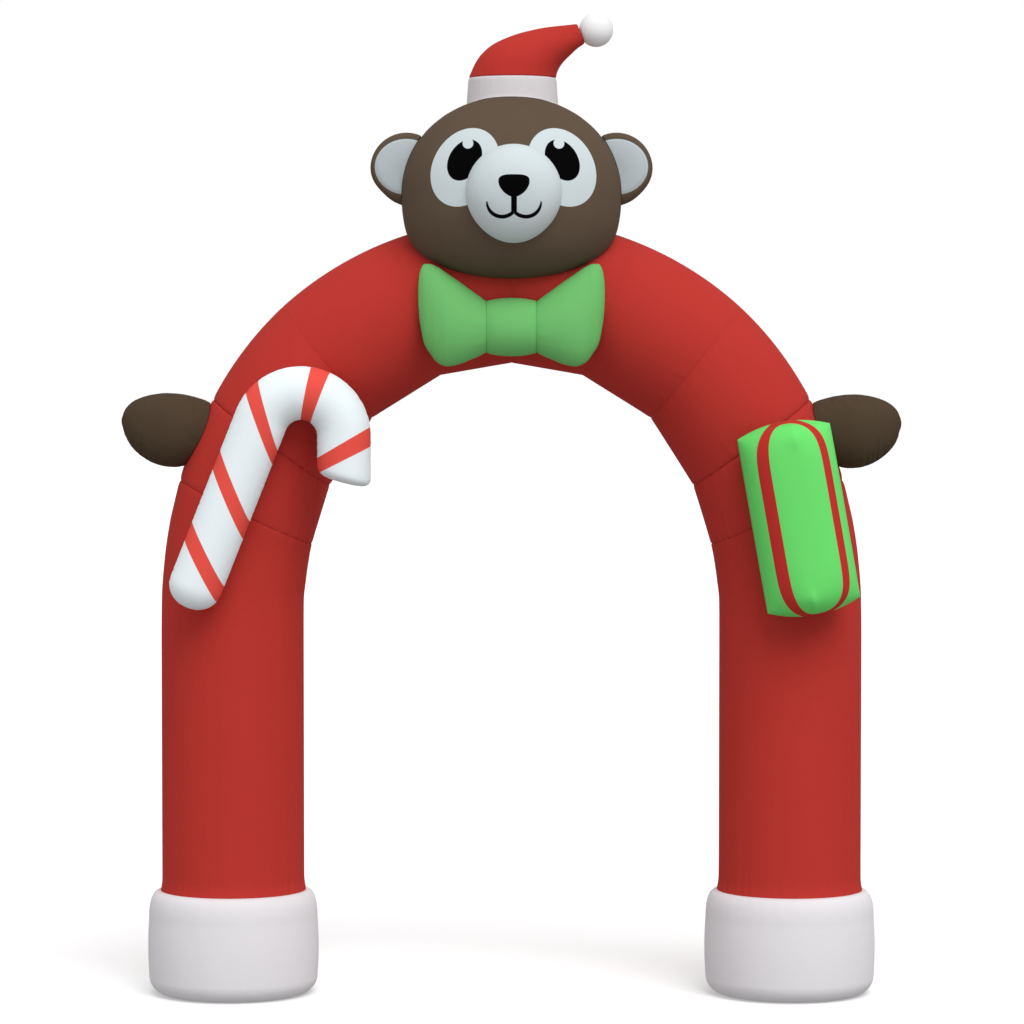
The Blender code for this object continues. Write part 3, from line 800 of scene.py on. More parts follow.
def woven(name, colour, marks=()):
    """Matt polyester: a colour with printed marks, each a function that gives its share and its colour,
    stitched seams with painted shade along their creases, a faint unevenness, a fine weave and soft
    streaks where the cloth is not drawn even."""
    finish = Finish(name)
    shade = colour
    for mark in marks:
        share, painted = mark(finish)
        shade = finish.mix(share, shade, painted)
    # Stitching and painted shade along the seam creases, as one share of a darker copy of the colour
    thread_and_crease_shade, darker = stitches_and_crease_shade(finish, colour)
    shade = finish.mix(thread_and_crease_shade, shade, darker)
    tone = finish.clouds(TONES, 3.0)
    finish.feed("Base Color", shaded(finish, shade, tone))
    finish.feed("Roughness", (tone - 0.5) * ROUGHNESS_SWING + CLOTH_ROUGHNESS)
    fine = bumped(finish, WEAVE_DEPTH, weave(finish))
    finish.feed("Normal", bumped(finish, CRINKLE_DEPTH, finish.clouds(CRINKLES, 2.0), Normal=fine))
    return finish.material


def shaded(finish, shade, tone):
    """A colour mixed with its own darker square, by a small share that goes with a tone from 0 to 1."""
    return finish.mix(tone * UNEVENNESS, shade, finish.mix(1.0, shade, shade, "MULTIPLY"))


def ellipse(x, z, centre, half, turn=0.0):
    """Below 1 inside an ellipse on the x, z plane whose long axis leans by a turn from upright."""
    dx, dz = x - centre[0], z - centre[1]
    across = dx * math.cos(turn) - dz * math.sin(turn)
    up = dx * math.sin(turn) + dz * math.cos(turn)
    return ((across / half[0]) ** 2 + (up / half[1]) ** 2) ** 0.5


# Printed places on the head: the eyes' white grounds, the black eyes and their round glints
FACE_X = 0.0053
PATCH_OUT = 0.1294
PATCH_Z = 2.2609
PATCH_HALF = (0.0862, 0.1108)
PATCH_TURN = math.radians(29.0)
EYE_OUT = 0.1303
EYE_Z = 2.2796
EYE_HALF = (0.0421, 0.0592)
EYE_TURN = math.radians(30.3)
GLINT_OUT = 0.1214
GLINT_Z = 2.3246
GLINT_RADIUS = 0.0144


def folded_face(finish):
    """The place on the head with both sides folded onto the left, and 1 on the front half of it."""
    x, y, z = finish.place()
    front = y.below(HEAD_Y, 0.004)
    return (x - FACE_X).size() * -1.0, z, front


def eye_grounds(finish):
    """White grounds round the eyes: a leaning ellipse on each side."""
    x, z, front = folded_face(finish)
    inside = ellipse(x, z, (-PATCH_OUT, PATCH_Z), PATCH_HALF, PATCH_TURN).below(1.0, 0.012)
    return inside * front, FACE_WHITE


def eyes(finish):
    """Black eyes: a leaning ellipse on each side, with a round bite for the glint."""
    x, z, front = folded_face(finish)
    inside = ellipse(x, z, (-EYE_OUT, EYE_Z), EYE_HALF, EYE_TURN).below(1.0, 0.022)
    glint = ellipse(x, z, (-GLINT_OUT, GLINT_Z), (GLINT_RADIUS, GLINT_RADIUS)).below(1.0, 0.07)
    return inside * (1 - glint) * front, BLACK


# Printed places on the muzzle
NOSE_X = 0.0067
NOSE_Z = 2.2177
NOSE_HALF_WIDTH = 0.0413
NOSE_UPPER = 0.0193
NOSE_LOWER = 0.0410
STEM_HALF = 0.0077
STEM_TOP = 2.200
STEM_FOOT = 2.137
SMILE_OUT = 0.0312
SMILE_Z = 2.1661
SMILE_RADIUS = 0.0405
SMILE_HALF = 0.0052


def nose(finish):
    """A black nose, flat above and drawn to a point below: two halves of superellipses, on a stem."""
    x, _, z = finish.place()
    out, up = (x - NOSE_X).size(), z - NOSE_Z
    upper = (out / NOSE_HALF_WIDTH) ** 3.0 + (up.most(0.0) / NOSE_UPPER) ** 3.0
    lower = (out / NOSE_HALF_WIDTH) ** 1.7 + ((up * -1.0).most(0.0) / NOSE_LOWER) ** 1.7
    pad = upper.most(lower).below(1.0, 0.05)
    stem = out.below(STEM_HALF, 0.0016) * z.below(STEM_TOP, 0.002) * (STEM_FOOT - z).below(0.0, 0.002)
    return pad.most(stem), BLACK


def smile(finish):
    """Two black arcs under the stem, each thinning away to its outer tip."""
    x, _, z = finish.place()
    out = (x - NOSE_X).size() - SMILE_OUT
    up = z - SMILE_Z
    ring = ((out**2.0 + up**2.0) ** 0.5 - SMILE_RADIUS).size()
    thin = ((up * -1.0) / SMILE_RADIUS + 0.1).held() ** 0.5
    inner = (out * -1.0).below(SMILE_OUT, 0.001)
    return (ring - thin * SMILE_HALF).below(0.0, 0.0016) * up.below(0.0, 0.002) * inner, BLACK


EAR_GROUND_Z = 2.2705
EAR_GROUND_HALF = (0.0860, 0.0755)
EAR_GROOVE = 0.0018
EAR_GROOVE_REACH = 0.0035
EAR_DISH = 0.006


def ear_ground(side):
    """The white ground of an ear's front, inside its brown rim."""
    def mark(finish):
        x, y, z = finish.place()
        front = y.below(EAR_Y, 0.003)
        inside = ellipse(x, z, (side * EAR_X, EAR_GROUND_Z), EAR_GROUND_HALF).below(1.0, 0.02)
        return inside * front, EAR_WHITE
    return mark


STRIPE_HALF = 0.125


def cane_stripes(finish):
    """Red stripes where the count of stripes along the cane, in its own map, is near a whole number."""
    count, _ = finish.spot("stripes")
    off = count - (count + 0.5).math("FLOOR")
    return off.size().below(STRIPE_HALF, 0.012), STRIPE_RED


# A ribbon's outer and inner loop: half width, half height and the power of its ends
Loop = namedtuple("Loop", "wide tall power")
LEFT_RIBBON = (Loop(0.76, 1.01, 8.0), Loop(0.515, 0.980, 8.0))
RIGHT_RIBBON = (Loop(0.785, 1.01, 10.0), Loop(0.61, 0.980, 10.0))
LOOP_SIDE_POWER = 2.4


def ribbon(across, up, outer, inner):
    """1 between two long rounded loops: superellipses, blunter at their ends than at their sides."""
    over, under = ((across / loop.wide) ** LOOP_SIDE_POWER + (up / loop.tall) ** loop.power
                   for loop in (outer, inner))
    return over.below(1.0, 0.03) * (1 - under.below(1.0, 0.04))


def gift_ribbons(finish):
    """Two red ribbons down the gift's front, each between two loops that close at its top and bottom."""
    across, up = finish.spot("gift")
    tall = up.size()
    left, right = (across * -1.0).most(0.0), across.most(0.0)
    first, second = ribbon(left, tall, *LEFT_RIBBON), ribbon(right, tall, *RIGHT_RIBBON)
    left_side = across.below(0.0, 0.001)
    return first * left_side + second * (1 - left_side), RIBBON_RED


# Pieces

def dressed(piece, material, node):
    """Puts a finish on a piece and has it stand for its node, on the one body."""
    piece.data.materials.append(material)
    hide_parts(node)
    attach(piece, "root")
    return piece


TUBE_SIDES = 224
LEG_ROWS = 230
PANEL_ROWS = 66
LEG_FOOT_PUCKER = 0.0013
OUTSIDE_PUCKER = 0.6
INSIDE_PUCKER_MORE = 0.9


def tube_skin(shape, seeds, depths):
    """A tube's rings with puckers that fade away from both seams. They are higher on the inside of the
    bend, where the cloth is gathered."""
    angle = turns(TUBE_SIDES)
    gathered = OUTSIDE_PUCKER + INSIDE_PUCKER_MORE * (1 - np.cos(angle)) / 2
    low, high = (gathers(away[:, None], angle[None], seed, TUBE_GATHER) * depth
                 for away, seed, depth in zip((shape.before, shape.after), seeds, depths))
    return ring_arrays(shape.points, shape.outer, shape.inner, (low + high) * gathered)


def closed_map(first, second):
    """A map of two numbers for each point of the rings, with the first column again for its close."""
    both = np.stack((first, second), axis=-1)
    return np.concatenate((both, both[:, :1]), axis=1)


def stitch_map(rings, distance):
    """A map of the distance to the nearest seam and the run along it, for rows that follow the seams."""
    around = np.linspace(0, mean_girth(rings), rings.shape[1] + 1)
    return np.stack(np.broadcast_arrays(distance[:, None], around[None]), axis=-1)


def make_tube(red):
    """Both legs and the arch's eight panels. Neighbours share their puckers at the seam between them."""
    leg = leg_shape(LEG_ROWS)
    flare = LEG_FLARE * np.clip(1 - leg.after / FLARE_HEIGHT, 0, 1) ** 2
    leg = leg._replace(outer=leg.outer + flare, inner=leg.inner + flare)
    for name, mirror, seed in (("right", (1, 1, 1), 10), ("left", (-1, 1, 1), 20)):
        rings = tube_skin(leg, (seed, seed + 9), (STITCHING[0].pucker, LEG_FOOT_PUCKER)) * mirror
        maps = {"seam": stitch_map(rings, np.minimum(leg.before + STITCHING[0].buried, leg.after))}
        dressed(skin(f"leg_skin_{name}", rings, maps=maps), red, f"leg_{name}")
        for k, panel in enumerate(PANELS):
            shape = panel_shape(k, PANEL_ROWS)
            depths = STITCHING[k].pucker, STITCHING[k + 1].pucker
            rings = tube_skin(shape, (seed + k, seed + k + 1), depths) * mirror
            off = np.minimum(shape.before + STITCHING[k].buried, shape.after + STITCHING[k + 1].buried)
            maps = {"seam": stitch_map(rings, off)}
            piece = skin(f"{panel}_skin_{name}", rings, maps=maps)
            dressed(piece, red, f"panel_{panel}_{name}")


def quarter(power, steps):
    """Points (across, up) of a quarter superellipse of unit size, from its widest to its top."""
    angle = np.linspace(0, math.pi / 2, steps)
    return np.cos(angle) ** (2 / power), np.sin(angle) ** (2 / power)


CUFF_SIDES = 176
CUFF_MOST_PUCKER = 0.002


def make_cuffs(white):
    """The cuffs, turned: a flat foot, a crowned side and a shoulder up to the leg, gathered at both."""
    foot_in, foot_down = quarter(2.0, 16)
    shoulder_in, shoulder_up = quarter(CUFF_SHOULDER_POWER, 26)
    width = CUFF_RADIUS - TUBE_RADIUS - LEG_FLARE
    side_top = CUFF_HEIGHT - CUFF_SHOULDER_DROP
    rise = np.linspace(0, 1, 22)[1:-1]
    radius = np.concatenate((
        CUFF_RADIUS - CUFF_FOOT_ROUND * (1 - foot_in[::-1]),
        CUFF_RADIUS + CUFF_CROWN * 4 * rise * (1 - rise),
        CUFF_RADIUS - width * (1 - shoulder_in),
    ))
    level = np.concatenate((
        CUFF_FOOT_ROUND * (1 - foot_down[::-1]),
        CUFF_FOOT_ROUND + (side_top - CUFF_FOOT_ROUND) * rise,
        side_top + CUFF_SHOULDER_DROP * shoulder_up,
    ))
    angle = turns(CUFF_SIDES)[None]
    run = summed(np.hypot(np.diff(radius), np.diff(level)))
    for name, x, seed in (("right", LEG_X, 41), ("left", -LEG_X, 42)):
        top = gathers((run[-1] - run)[:, None], angle, seed, CUFF_TOP_GATHER)
        foot = gathers(run[:, None], angle, seed + 2, CUFF_FOOT_GATHER)
        rings = level_rings(x, ARCH_Y, radius[:, None] + np.minimum(top + foot, CUFF_MOST_PUCKER), level)
        maps = {"seam": stitch_map(rings, run[-1] - run + CUFF_SEAM_BURIED)}
        dressed(skin(f"cuff_skin_{name}", rings, maps=maps), white, f"cuff_{name}")


HEAD_ROWS = 162
HEAD_SIDES = 260
HEART_AHEAD = 0.01
HEART_UP = 0.10
HEAD_GROOVE = 0.0014
HEAD_GROOVE_REACH = 0.004
HEAD_HALVINGS = 34
HEAD_FARTHEST = 0.7
TUBE_STEPS = 26
TUBE_FARTHEST = 0.9
HEAD_ON_TUBE_ROUND = 0.008
HEAD_CLEAR = 0.02


def make_head(brown):
    """The head, as seen from a point in its middle: each direction's reach is the lesser of the way to
    its own skin and the way to the tube, rounded where they cross, so it sits over the tube."""
    heart = np.array((0, HEAD_Y - HEART_AHEAD, HEAD_Z + HEART_UP))
    polar = np.linspace(-math.pi / 2, math.pi / 2, HEAD_ROWS + 2)[1:-1, None]
    angle = turns(HEAD_SIDES)[None]
    way = np.stack((np.cos(polar) * np.cos(angle), -np.cos(polar) * np.sin(angle),
                    np.sin(polar) * np.ones_like(angle)), axis=-1)
    way = np.concatenate((way.reshape(-1, 3), ((0, 0, -1), (0, 0, 1))))
    low, high = np.zeros(len(way)), np.full(len(way), HEAD_FARTHEST)
    offset = heart - np.array((0, HEAD_Y, HEAD_Z))
    for _ in range(HEAD_HALVINGS):
        half = (low + high) / 2
        inside = head_reach(*(offset + way * half[:, None]).T) < 1
        low, high = np.where(inside, half, low), np.where(inside, high, half)
    to_tube = np.zeros(len(way))
    for _ in range(TUBE_STEPS):
        _, _, _, distance, radius = round_tube(heart + way * to_tube[:, None])
        to_tube = np.clip(to_tube + (distance - radius - TOUCH), 0, TUBE_FARTHEST)
    points = heart + way * smooth_least(low, to_tube, HEAD_ON_TUBE_ROUND)[:, None]
    rings = points[:-2].reshape(HEAD_ROWS, HEAD_SIDES, 3)
    away = np.abs(rings[..., 1] - HEAD_Y)
    free = (to_tube > low + HEAD_CLEAR)[:-2].reshape(HEAD_ROWS, HEAD_SIDES)
    along = np.broadcast_to(polar, away.shape)
    ripple = gathers(away, along, 51, HEAD_GATHER) - groove(away, HEAD_GROOVE, HEAD_GROOVE_REACH)
    rings = rings + units(rings - heart) * np.where(free, ripple, 0)[..., None]
    maps = {"seam": closed_map(np.where(free, away, 1.0), along * HEAD_HALF_WIDTH)}
    dressed(skin("head_skin", rings, points[-2], points[-1], maps), brown, "head")


CHIN_POWER = 6


def facing_rings(centre, radius, half_depth, power, steps, sides, chin=0.0):
    """A round pillow that faces forwards: circles about its axis under a superellipse, from its back to
    its front, its low point drawn to a chin."""
    x, y, z = centre
    tilt = np.linspace(-math.pi / 2, math.pi / 2, steps + 2)[1:-1, None]
    angle = turns(sides)[None]
    reach = np.cos(tilt) ** (2 / power) * (radius + chin * np.clip(-np.sin(angle), 0, 1) ** CHIN_POWER)
    depth = -np.sign(tilt) * np.abs(np.sin(tilt)) ** (2 / power) * half_depth
    across, up = x + reach * np.cos(angle), z + reach * np.sin(angle)
    return np.stack((across, y + depth * np.ones_like(angle), up), axis=-1)


def make_face(white):
    """The muzzle, and the ears with their dished white grounds."""
    centre = (MUZZLE_X, MUZZLE_Y, MUZZLE_Z)
    rings = facing_rings(centre, MUZZLE_RADIUS, MUZZLE_HALF_DEPTH, MUZZLE_POWER, 96, 144, MUZZLE_CHIN)
    ends = np.array(((MUZZLE_X, MUZZLE_Y + MUZZLE_HALF_DEPTH, MUZZLE_Z),
                     (MUZZLE_X, MUZZLE_Y - MUZZLE_HALF_DEPTH, MUZZLE_Z)))
    maps = {"seam": closed_map(np.ones(rings.shape[:2]), np.ones(rings.shape[:2]))}
    piece = skin("muzzle_skin", off_head(rings, 1), *off_head(ends, 1), maps)
    dressed(piece, white, "muzzle")
    for name, side, cut in (("right", 1, 0.055), ("left", -1, 0.080)):
        x = side * EAR_X
        rings = facing_rings((x, EAR_Y, EAR_Z), EAR_RADIUS, EAR_HALF_DEPTH, EAR_POWER, 64, 128)
        way = np.arctan2(EAR_Z - rings[..., 2], side * (rings[..., 0] - x))
        narrower = 1 - cut * np.exp(-(((way - EAR_CUT_WAY) / EAR_CUT_HALF) ** 2))
        rings[..., 0] = x + (rings[..., 0] - x) * narrower
        rings[..., 2] = EAR_Z + (rings[..., 2] - EAR_Z) * narrower
        across, up = rings[..., 0] - x, rings[..., 2] - EAR_GROUND_Z
        shape = np.hypot(across / EAR_GROUND_HALF[0], up / EAR_GROUND_HALF[1])
        off = np.abs(shape - 1) * EAR_GROUND_HALF[1]
        dish = EAR_DISH * np.clip(1 - shape**2, 0, 1)
        front = rings[..., 1] < EAR_Y
        run = np.arctan2(rings[..., 2] - EAR_Z, across) * EAR_RADIUS
        maps = {"seam": closed_map(np.where(front, off, 1.0), run)}
        rings[..., 1] += np.where(front, groove(off, EAR_GROOVE, EAR_GROOVE_REACH) + dish, 0)
        ends = np.array(((x, EAR_Y + EAR_HALF_DEPTH, EAR_Z), (x, EAR_Y - EAR_HALF_DEPTH + EAR_DISH, EAR_Z)))
        piece = skin(f"ear_skin_{name}", off_head(rings, 0), *off_head(ends, 0), maps)
        dressed(piece, woven(f"ear_cloth_{name}", BROWN, (ear_ground(side),)), f"ear_{name}")


BAND_FLOOR_ROWS = 14
BAND_SWELL = 0.0012
BAND_PINCH = 0.0045
BAND_PINCH_REACH = 0.012
CONE_PINCH = 0.0012
CONE_PINCH_REACH = 0.006
HAT_SIDES = 160
POMPOM_SIDES = 112


def make_hat(red, white, pompom_white):
    """The band, turned and seated on the head; the cone, of round sections bent over; and the pompom."""
    angle = turns(HAT_SIDES)[None]
    rise = crowded(44, 0.6)
    level = BAND_FOOT_Z + (BAND_TOP_Z - SEAM_GAP - BAND_FOOT_Z) * rise
    below = BAND_TOP_Z - level
    radius = BAND_FOOT_RADIUS + (BAND_TOP_RADIUS - BAND_FOOT_RADIUS) * rise
    radius += BAND_SWELL - BAND_PINCH * (1 - drawn_in(below, BAND_PINCH_REACH))
    reach = radius[:, None] + gathers(below[:, None], angle, 61, BAND_GATHER)
    rings = level_rings(HAT_X, HAT_Y, reach, level)
    foot = np.array((HAT_X, HAT_Y, BAND_FOOT_Z))
    inner = foot + (rings[0] - foot) * np.linspace(0.06, 0.94, BAND_FLOOR_ROWS)[:, None, None]
    rings = off_head(np.concatenate((inner, rings)), 2)
    maps = {"seam": stitch_map(rings, np.concatenate((np.ones(BAND_FLOOR_ROWS), below)))}
    piece = skin("hat_band_skin", rings, off_head(foot[None], 2)[0], maps=maps)
    dressed(piece, white, "hat_band")

    rows = np.array(HAT_SECTIONS)
    upper_run = summed(np.hypot(*np.diff(rows[:, :2], axis=0).T))
    run = crowded(110, 0.3) * upper_run[-1]
    made = smooth_through(run, upper_run, rows)
    middle, reach = (made[:, :2] + made[:, 2:]) / 2, (made[:, :2] - made[:, 2:]) / 2
    size = np.linalg.norm(reach, axis=1)
    across = reach / size[:, None]
    near = np.minimum(run, upper_run[-1] - run)
    ripple = gathers(run[:, None], angle, 62, CONE_GATHER)
    full = size[:, None] - CONE_PINCH * (1 - drawn_in(near, CONE_PINCH_REACH))[:, None] + ripple
    side = full * np.cos(angle)
    rings = np.stack((middle[:, :1] + across[:, :1] * side, HAT_Y - full * np.sin(angle),
                      middle[:, 1:] + across[:, 1:] * side), axis=-1)
    maps = {"seam": stitch_map(rings, near)}
    dressed(skin("hat_cone_skin", rings, maps=maps), red, "hat_cone")

    tip = rows[-1]
    across = (tip[:2] - tip[2:]) / np.linalg.norm(tip[:2] - tip[2:])
    onward = np.array((across[1], -across[0]))
    centre = np.array((POMPOM_X, POMPOM_Z))
    flat = (centre - (tip[:2] + tip[2:]) / 2) @ onward - SEAM_GAP
    lift = np.linspace(math.asin(-flat / POMPOM_RADIUS), math.pi / 2, 70)[:-1, None]
    angle = turns(POMPOM_SIDES)[None]
    along, ball = POMPOM_RADIUS * np.sin(lift), POMPOM_RADIUS * np.cos(lift)
    side = ball * np.cos(angle)
    rings = np.stack((centre[0] + onward[0] * along + across[0] * side, HAT_Y - ball * np.sin(angle),
                      centre[1] + onward[1] * along + across[1] * side), axis=-1)
    pole = centre + onward * POMPOM_RADIUS
    maps = {"seam": closed_map(np.abs(rings[..., 1] - HAT_Y), rings[..., 0])}
    piece = skin("pompom_skin", rings, None, (pole[0], HAT_Y, pole[1]), maps)
    dressed(piece, pompom_white, "hat_pompom")


PILLOW_SIDES = 128
PILLOW_GROOVE = 0.0012
PILLOW_GROOVE_REACH = 0.003
RUN_WAVES = 12
LENS = 1.8
AIR_PRESSURE = 4.0
AIR_FRAMES = 20
AIR_STRETCH = -0.02
HELD_SEAM = 0.003
HELD_WALL = 0.012


def blown(piece, seam_y, most):
    """Blows a piece up as cloth: the points on its seam, a plane of one y, and by the tube stay, and the
    rest swell under air pressure with a little spare cloth, each by the given most at the farthest."""
    mesh = piece.data
    before = np.empty(len(mesh.vertices) * 3)
    mesh.vertices.foreach_get("co", before)
    points = before.reshape(-1, 3)
    _, _, _, distance, radius = round_tube(points)
    held = (np.abs(points[:, 1] - seam_y) < HELD_SEAM) | (distance - radius < HELD_WALL)
    pinned = piece.vertex_groups.new(name="held")
    pinned.add(np.flatnonzero(held).tolist(), 1.0, "REPLACE")
    cloth = piece.modifiers.new("Air", "CLOTH")
    cloth.settings.vertex_group_mass = "held"
    cloth.settings.use_pressure = True
    cloth.settings.uniform_pressure_force = AIR_PRESSURE
    cloth.settings.shrink_min = AIR_STRETCH
    cloth.settings.effector_weights.gravity = 0
    cloth.point_cache.frame_start = 1
    cloth.point_cache.frame_end = AIR_FRAMES
    scene = bpy.context.scene
    for step in range(1, AIR_FRAMES + 1):
        scene.frame_set(step)
    after = np.empty_like(before)
    swollen = piece.evaluated_get(bpy.context.evaluated_depsgraph_get())
    swollen.to_mesh().vertices.foreach_get("co", after)
    swollen.to_mesh_clear()
    piece.modifiers.remove(cloth)
    piece.vertex_groups.remove(pinned)
    scene.frame_set(1)
    move = after.reshape(-1, 3) - points
    length = np.maximum(np.linalg.norm(move, axis=1, keepdims=True), SMALL)
    move *= most * np.tanh(length / most) / length
    mesh.vertices.foreach_set("co", (points + move).ravel())
    mesh.update()


def station_rings(x, y, rows, lens=LENS):
    """Upright sections of a two-panel pillow at each x: superellipses, sharper at the seam above and below
    than an ellipse where lens is under 2."""
    angle = turns(PILLOW_SIDES)[None]
    middle = (rows[:, :1] + rows[:, 1:2]) / 2
    half = (rows[:, :1] - rows[:, 1:2]) / 2
    cosine, sine = np.cos(angle), np.sin(angle)
    depth = y - rows[:, 2:3] * np.sign(cosine) * np.abs(cosine) ** (2 / lens)
    return np.stack((np.broadcast_to(x[:, None], depth.shape), depth, middle + half * sine), axis=-1)


def puffed(rings, y, seed, height):
    """A pillow's rings with the seam in its middle plane drawn in, puckers of the given height that run
    from the seam into both panels, and a seam map."""
    away = np.abs(rings[..., 1] - y)
    along = np.broadcast_to(run_lengths(rings)[:, None], away.shape)
    ripple = gathers(away, along * RUN_WAVES, seed, PILLOW_GATHER) * height
    normal = skin_normals(rings)
    outward = np.sign(np.einsum("ijk,ijk->", normal, rings - rings.mean(axis=(0, 1))))
    move = ripple - groove(away, PILLOW_GROOVE, PILLOW_GROOVE_REACH)
    return rings + normal * outward * move[..., None], {"seam": closed_map(away, along)}


def make_bow(green):
    """The bow tie: two wings and the knot between them, on the tube's front."""
    rows = np.array(BOW_WING)
    knots = np.sqrt(rows[-1, 0] - rows[:, 0])[::-1]
    spread = np.linspace(0, knots[-1], 112)[1:]
    made = smooth_through(spread, knots, rows[::-1, 1:])
    out = rows[-1, 0] - spread**2
    for name, side, seed in (("right", 1, 71), ("left", -1, 72)):
        rings, maps = puffed(station_rings(side * out, BOW_Y, made), BOW_Y, seed, 0.0004)
        angle = turns(PILLOW_SIDES)[None]
        gathered = gathers((out - rows[0, 0])[:, None], angle, seed + 5, BOW_GATHER)
        rings[..., 1] += gathered * np.cos(angle) ** 2
        tip = (side * rows[-1, 0], BOW_Y, rows[-1, 1])
        piece = skin(f"bow_skin_{name}", off_tube(rings), tip, None, maps)
        dressed(piece, green, f"bow_wing_{name}")
    knot = np.array(BOW_KNOT)
    out = np.linspace(-knot[-1, 0], knot[-1, 0], 60)
    made = smooth_through(np.abs(out), knot[:, 0], knot[:, 1:])
    rings, maps = puffed(station_rings(out, BOW_Y, made), BOW_Y, 73, 0.0003)
    dressed(skin("bow_skin_knot", off_tube(rings), maps=maps), green, "bow_knot")


MITT_GATHER_OUT = 0.075
MITT_GATHER_REACH = 0.045
MITT_LENS = 2.3
MITT_SWELL = 0.003


def make_mitts(dark):
    """The mitts: fat pillows that stand out from the tube's outer sides, puckered at their lower outer
    seams. The right one hangs a little."""
    rows = np.array(MITT)
    knots = np.sqrt(rows[:, 0])
    spread = np.linspace(0, knots[-1], 120)[1:]
    made = smooth_through(spread, knots, rows[:, 1:])
    out = spread**2
    gathered = np.exp(-(((out - MITT_GATHER_OUT) / MITT_GATHER_REACH) ** 2))[:, None]
    low = np.clip(-np.sin(turns(PILLOW_SIDES)), 0, 1)[None] ** 0.5
    for name, side, tilt, seed in (("right", 1, MITT_RIGHT_TILT, 81), ("left", -1, 0.0, 82)):
        plain = station_rings(side * (MITT_REACH - out), MITT_Y, made, MITT_LENS)
        rings, maps = puffed(plain, MITT_Y, seed, 0.0003)
        off = rings[..., 1] - MITT_Y
        along = run_lengths(rings)[:, None] * RUN_WAVES
        crease = gathers(np.abs(off), along, seed + 5, MITT_GATHER)
        rings[..., 1] += np.sign(off) * crease * gathered * low
        drop = (MITT_ROOT_OUT - out) * math.tan(tilt)
        rings[..., 2] -= drop[:, None]
        tip = (side * MITT_REACH, MITT_Y, rows[0, 1] - MITT_ROOT_OUT * math.tan(tilt))
        piece = skin(f"mitt_skin_{name}", beside_tube(rings, side), tip, None, maps)
        blown(piece, MITT_Y, MITT_SWELL)
        dressed(piece, dark, f"mitt_{name}")


def cane_line():
    """The cane's middle line: its points, headings, run from the foot, girth and slant, foot to hook."""
    heading = np.array((math.sin(CANE_LEAN), math.cos(CANE_LEAN)))
    outward = np.array((-heading[1], heading[0]))
    centre = np.array((CANE_CROOK_X, CANE_CROOK_Z))
    start = centre + outward * CANE_CROOK_RADIUS
    bend = (math.pi - CANE_LEAN) * CANE_CROOK_RADIUS
    total = CANE_SHAFT + bend + CANE_HOOK - CANE_HOOK_DOME
    dome = np.linspace(0, math.pi / 2, 20)[:-1]
    run = np.concatenate((
        -CANE_FOOT_DOME * np.cos(dome) ** (2 / CANE_FOOT_POWER),
        np.linspace(0, total, 190),
        total + CANE_HOOK_DOME * np.sin(math.pi / 2 - dome[::-1]) ** (2 / CANE_HOOK_POWER),
    ))
    girth = np.concatenate((
        np.sin(dome) ** (2 / CANE_FOOT_POWER),
        np.ones(190),
        np.cos(math.pi / 2 - dome[::-1]) ** (2 / CANE_HOOK_POWER),
    ))
    turned = np.clip((run - CANE_SHAFT) / CANE_CROOK_RADIUS, 0, math.pi - CANE_LEAN)
    away = np.stack((-np.cos(CANE_LEAN + turned), np.sin(CANE_LEAN + turned)), axis=1)
    on_shaft = start + heading * (run - CANE_SHAFT)[:, None]
    on_crook = centre + away * CANE_CROOK_RADIUS
    on_hook = on_crook + np.stack((away[:, 1], -away[:, 0]), axis=1) * (run - CANE_SHAFT - bend)[:, None]
    below = [(run < CANE_SHAFT)[:, None], (run < CANE_SHAFT + bend)[:, None]]
    where = np.select(below, [on_shaft, on_crook], on_hook)
    slant = CANE_HOOK_SLANT * np.clip((run - CANE_SHAFT - bend) / (CANE_HOOK - CANE_HOOK_DOME), 0, 1)
    return where, np.stack((away[:, 1], -away[:, 0]), axis=1), run, girth, slant


def edge_point(run, where, heading, girth_run, side):
    """The place on the cane's outer (1) or inner (-1) edge at a run from the foot, straight on beyond
    both ends."""
    hx, hz = (np.interp(run, girth_run, heading[:, c]) for c in (0, 1))
    beyond = run - np.clip(run, girth_run[0], girth_run[-1])
    x = np.interp(run, girth_run, where[:, 0]) + hx * beyond
    z = np.interp(run, girth_run, where[:, 1]) + hz * beyond
    return np.stack((x - hz * CANE_RADIUS * side, z + hx * CANE_RADIUS * side), axis=-1)


def stripe_count(points, run, angle, line):
    """How many stripes lie between the foot and each point. Ahead of the cane's middle, each stripe is
    straight from its outer to its inner place, and the count between two stripes goes as the distances
    to both. Behind, a stripe runs on round the cane to the outer place of the stripe before."""
    rows = np.array(CANE_STRIPES)
    outer, inner = edge_point(rows[:, 0], *line, 1), edge_point(rows[:, 1], *line, -1)
    across = inner - outer
    onward = np.stack((-across[:, 1], across[:, 0]), axis=1) / np.linalg.norm(across, axis=1, keepdims=True)
    ahead = np.stack([np.interp(rows.mean(axis=1), line[2], line[1][:, c]) for c in (0, 1)], axis=1)
    onward *= np.sign((onward * ahead).sum(axis=1, keepdims=True))
    past = np.einsum("pqkc,kc->pqk", points[..., None, :] - outer, onward)
    near, far = past[..., :-1], past[..., 1:]
    share = np.clip(near / np.maximum(near - far, LEAST_REACH), 0, 1)
    lowest, highest = rows.min(axis=1), rows.max(axis=1)
    share = np.where(run[..., None] < lowest[:-1], 0, share)
    share = np.where(run[..., None] > highest[1:], 1, share)
    inward = (1 - np.cos(angle))[..., None] / 2
    crossing = rows[:-1, 0] + (rows[1:, 1] - rows[:-1, 0]) * inward
    behind = np.clip((run[..., None] - crossing[..., :-1]) / np.diff(crossing, axis=-1), 0, 1)
    return np.where(np.sin(angle) >= -SMALL, share.sum(axis=-1), 1 + behind.sum(axis=-1))


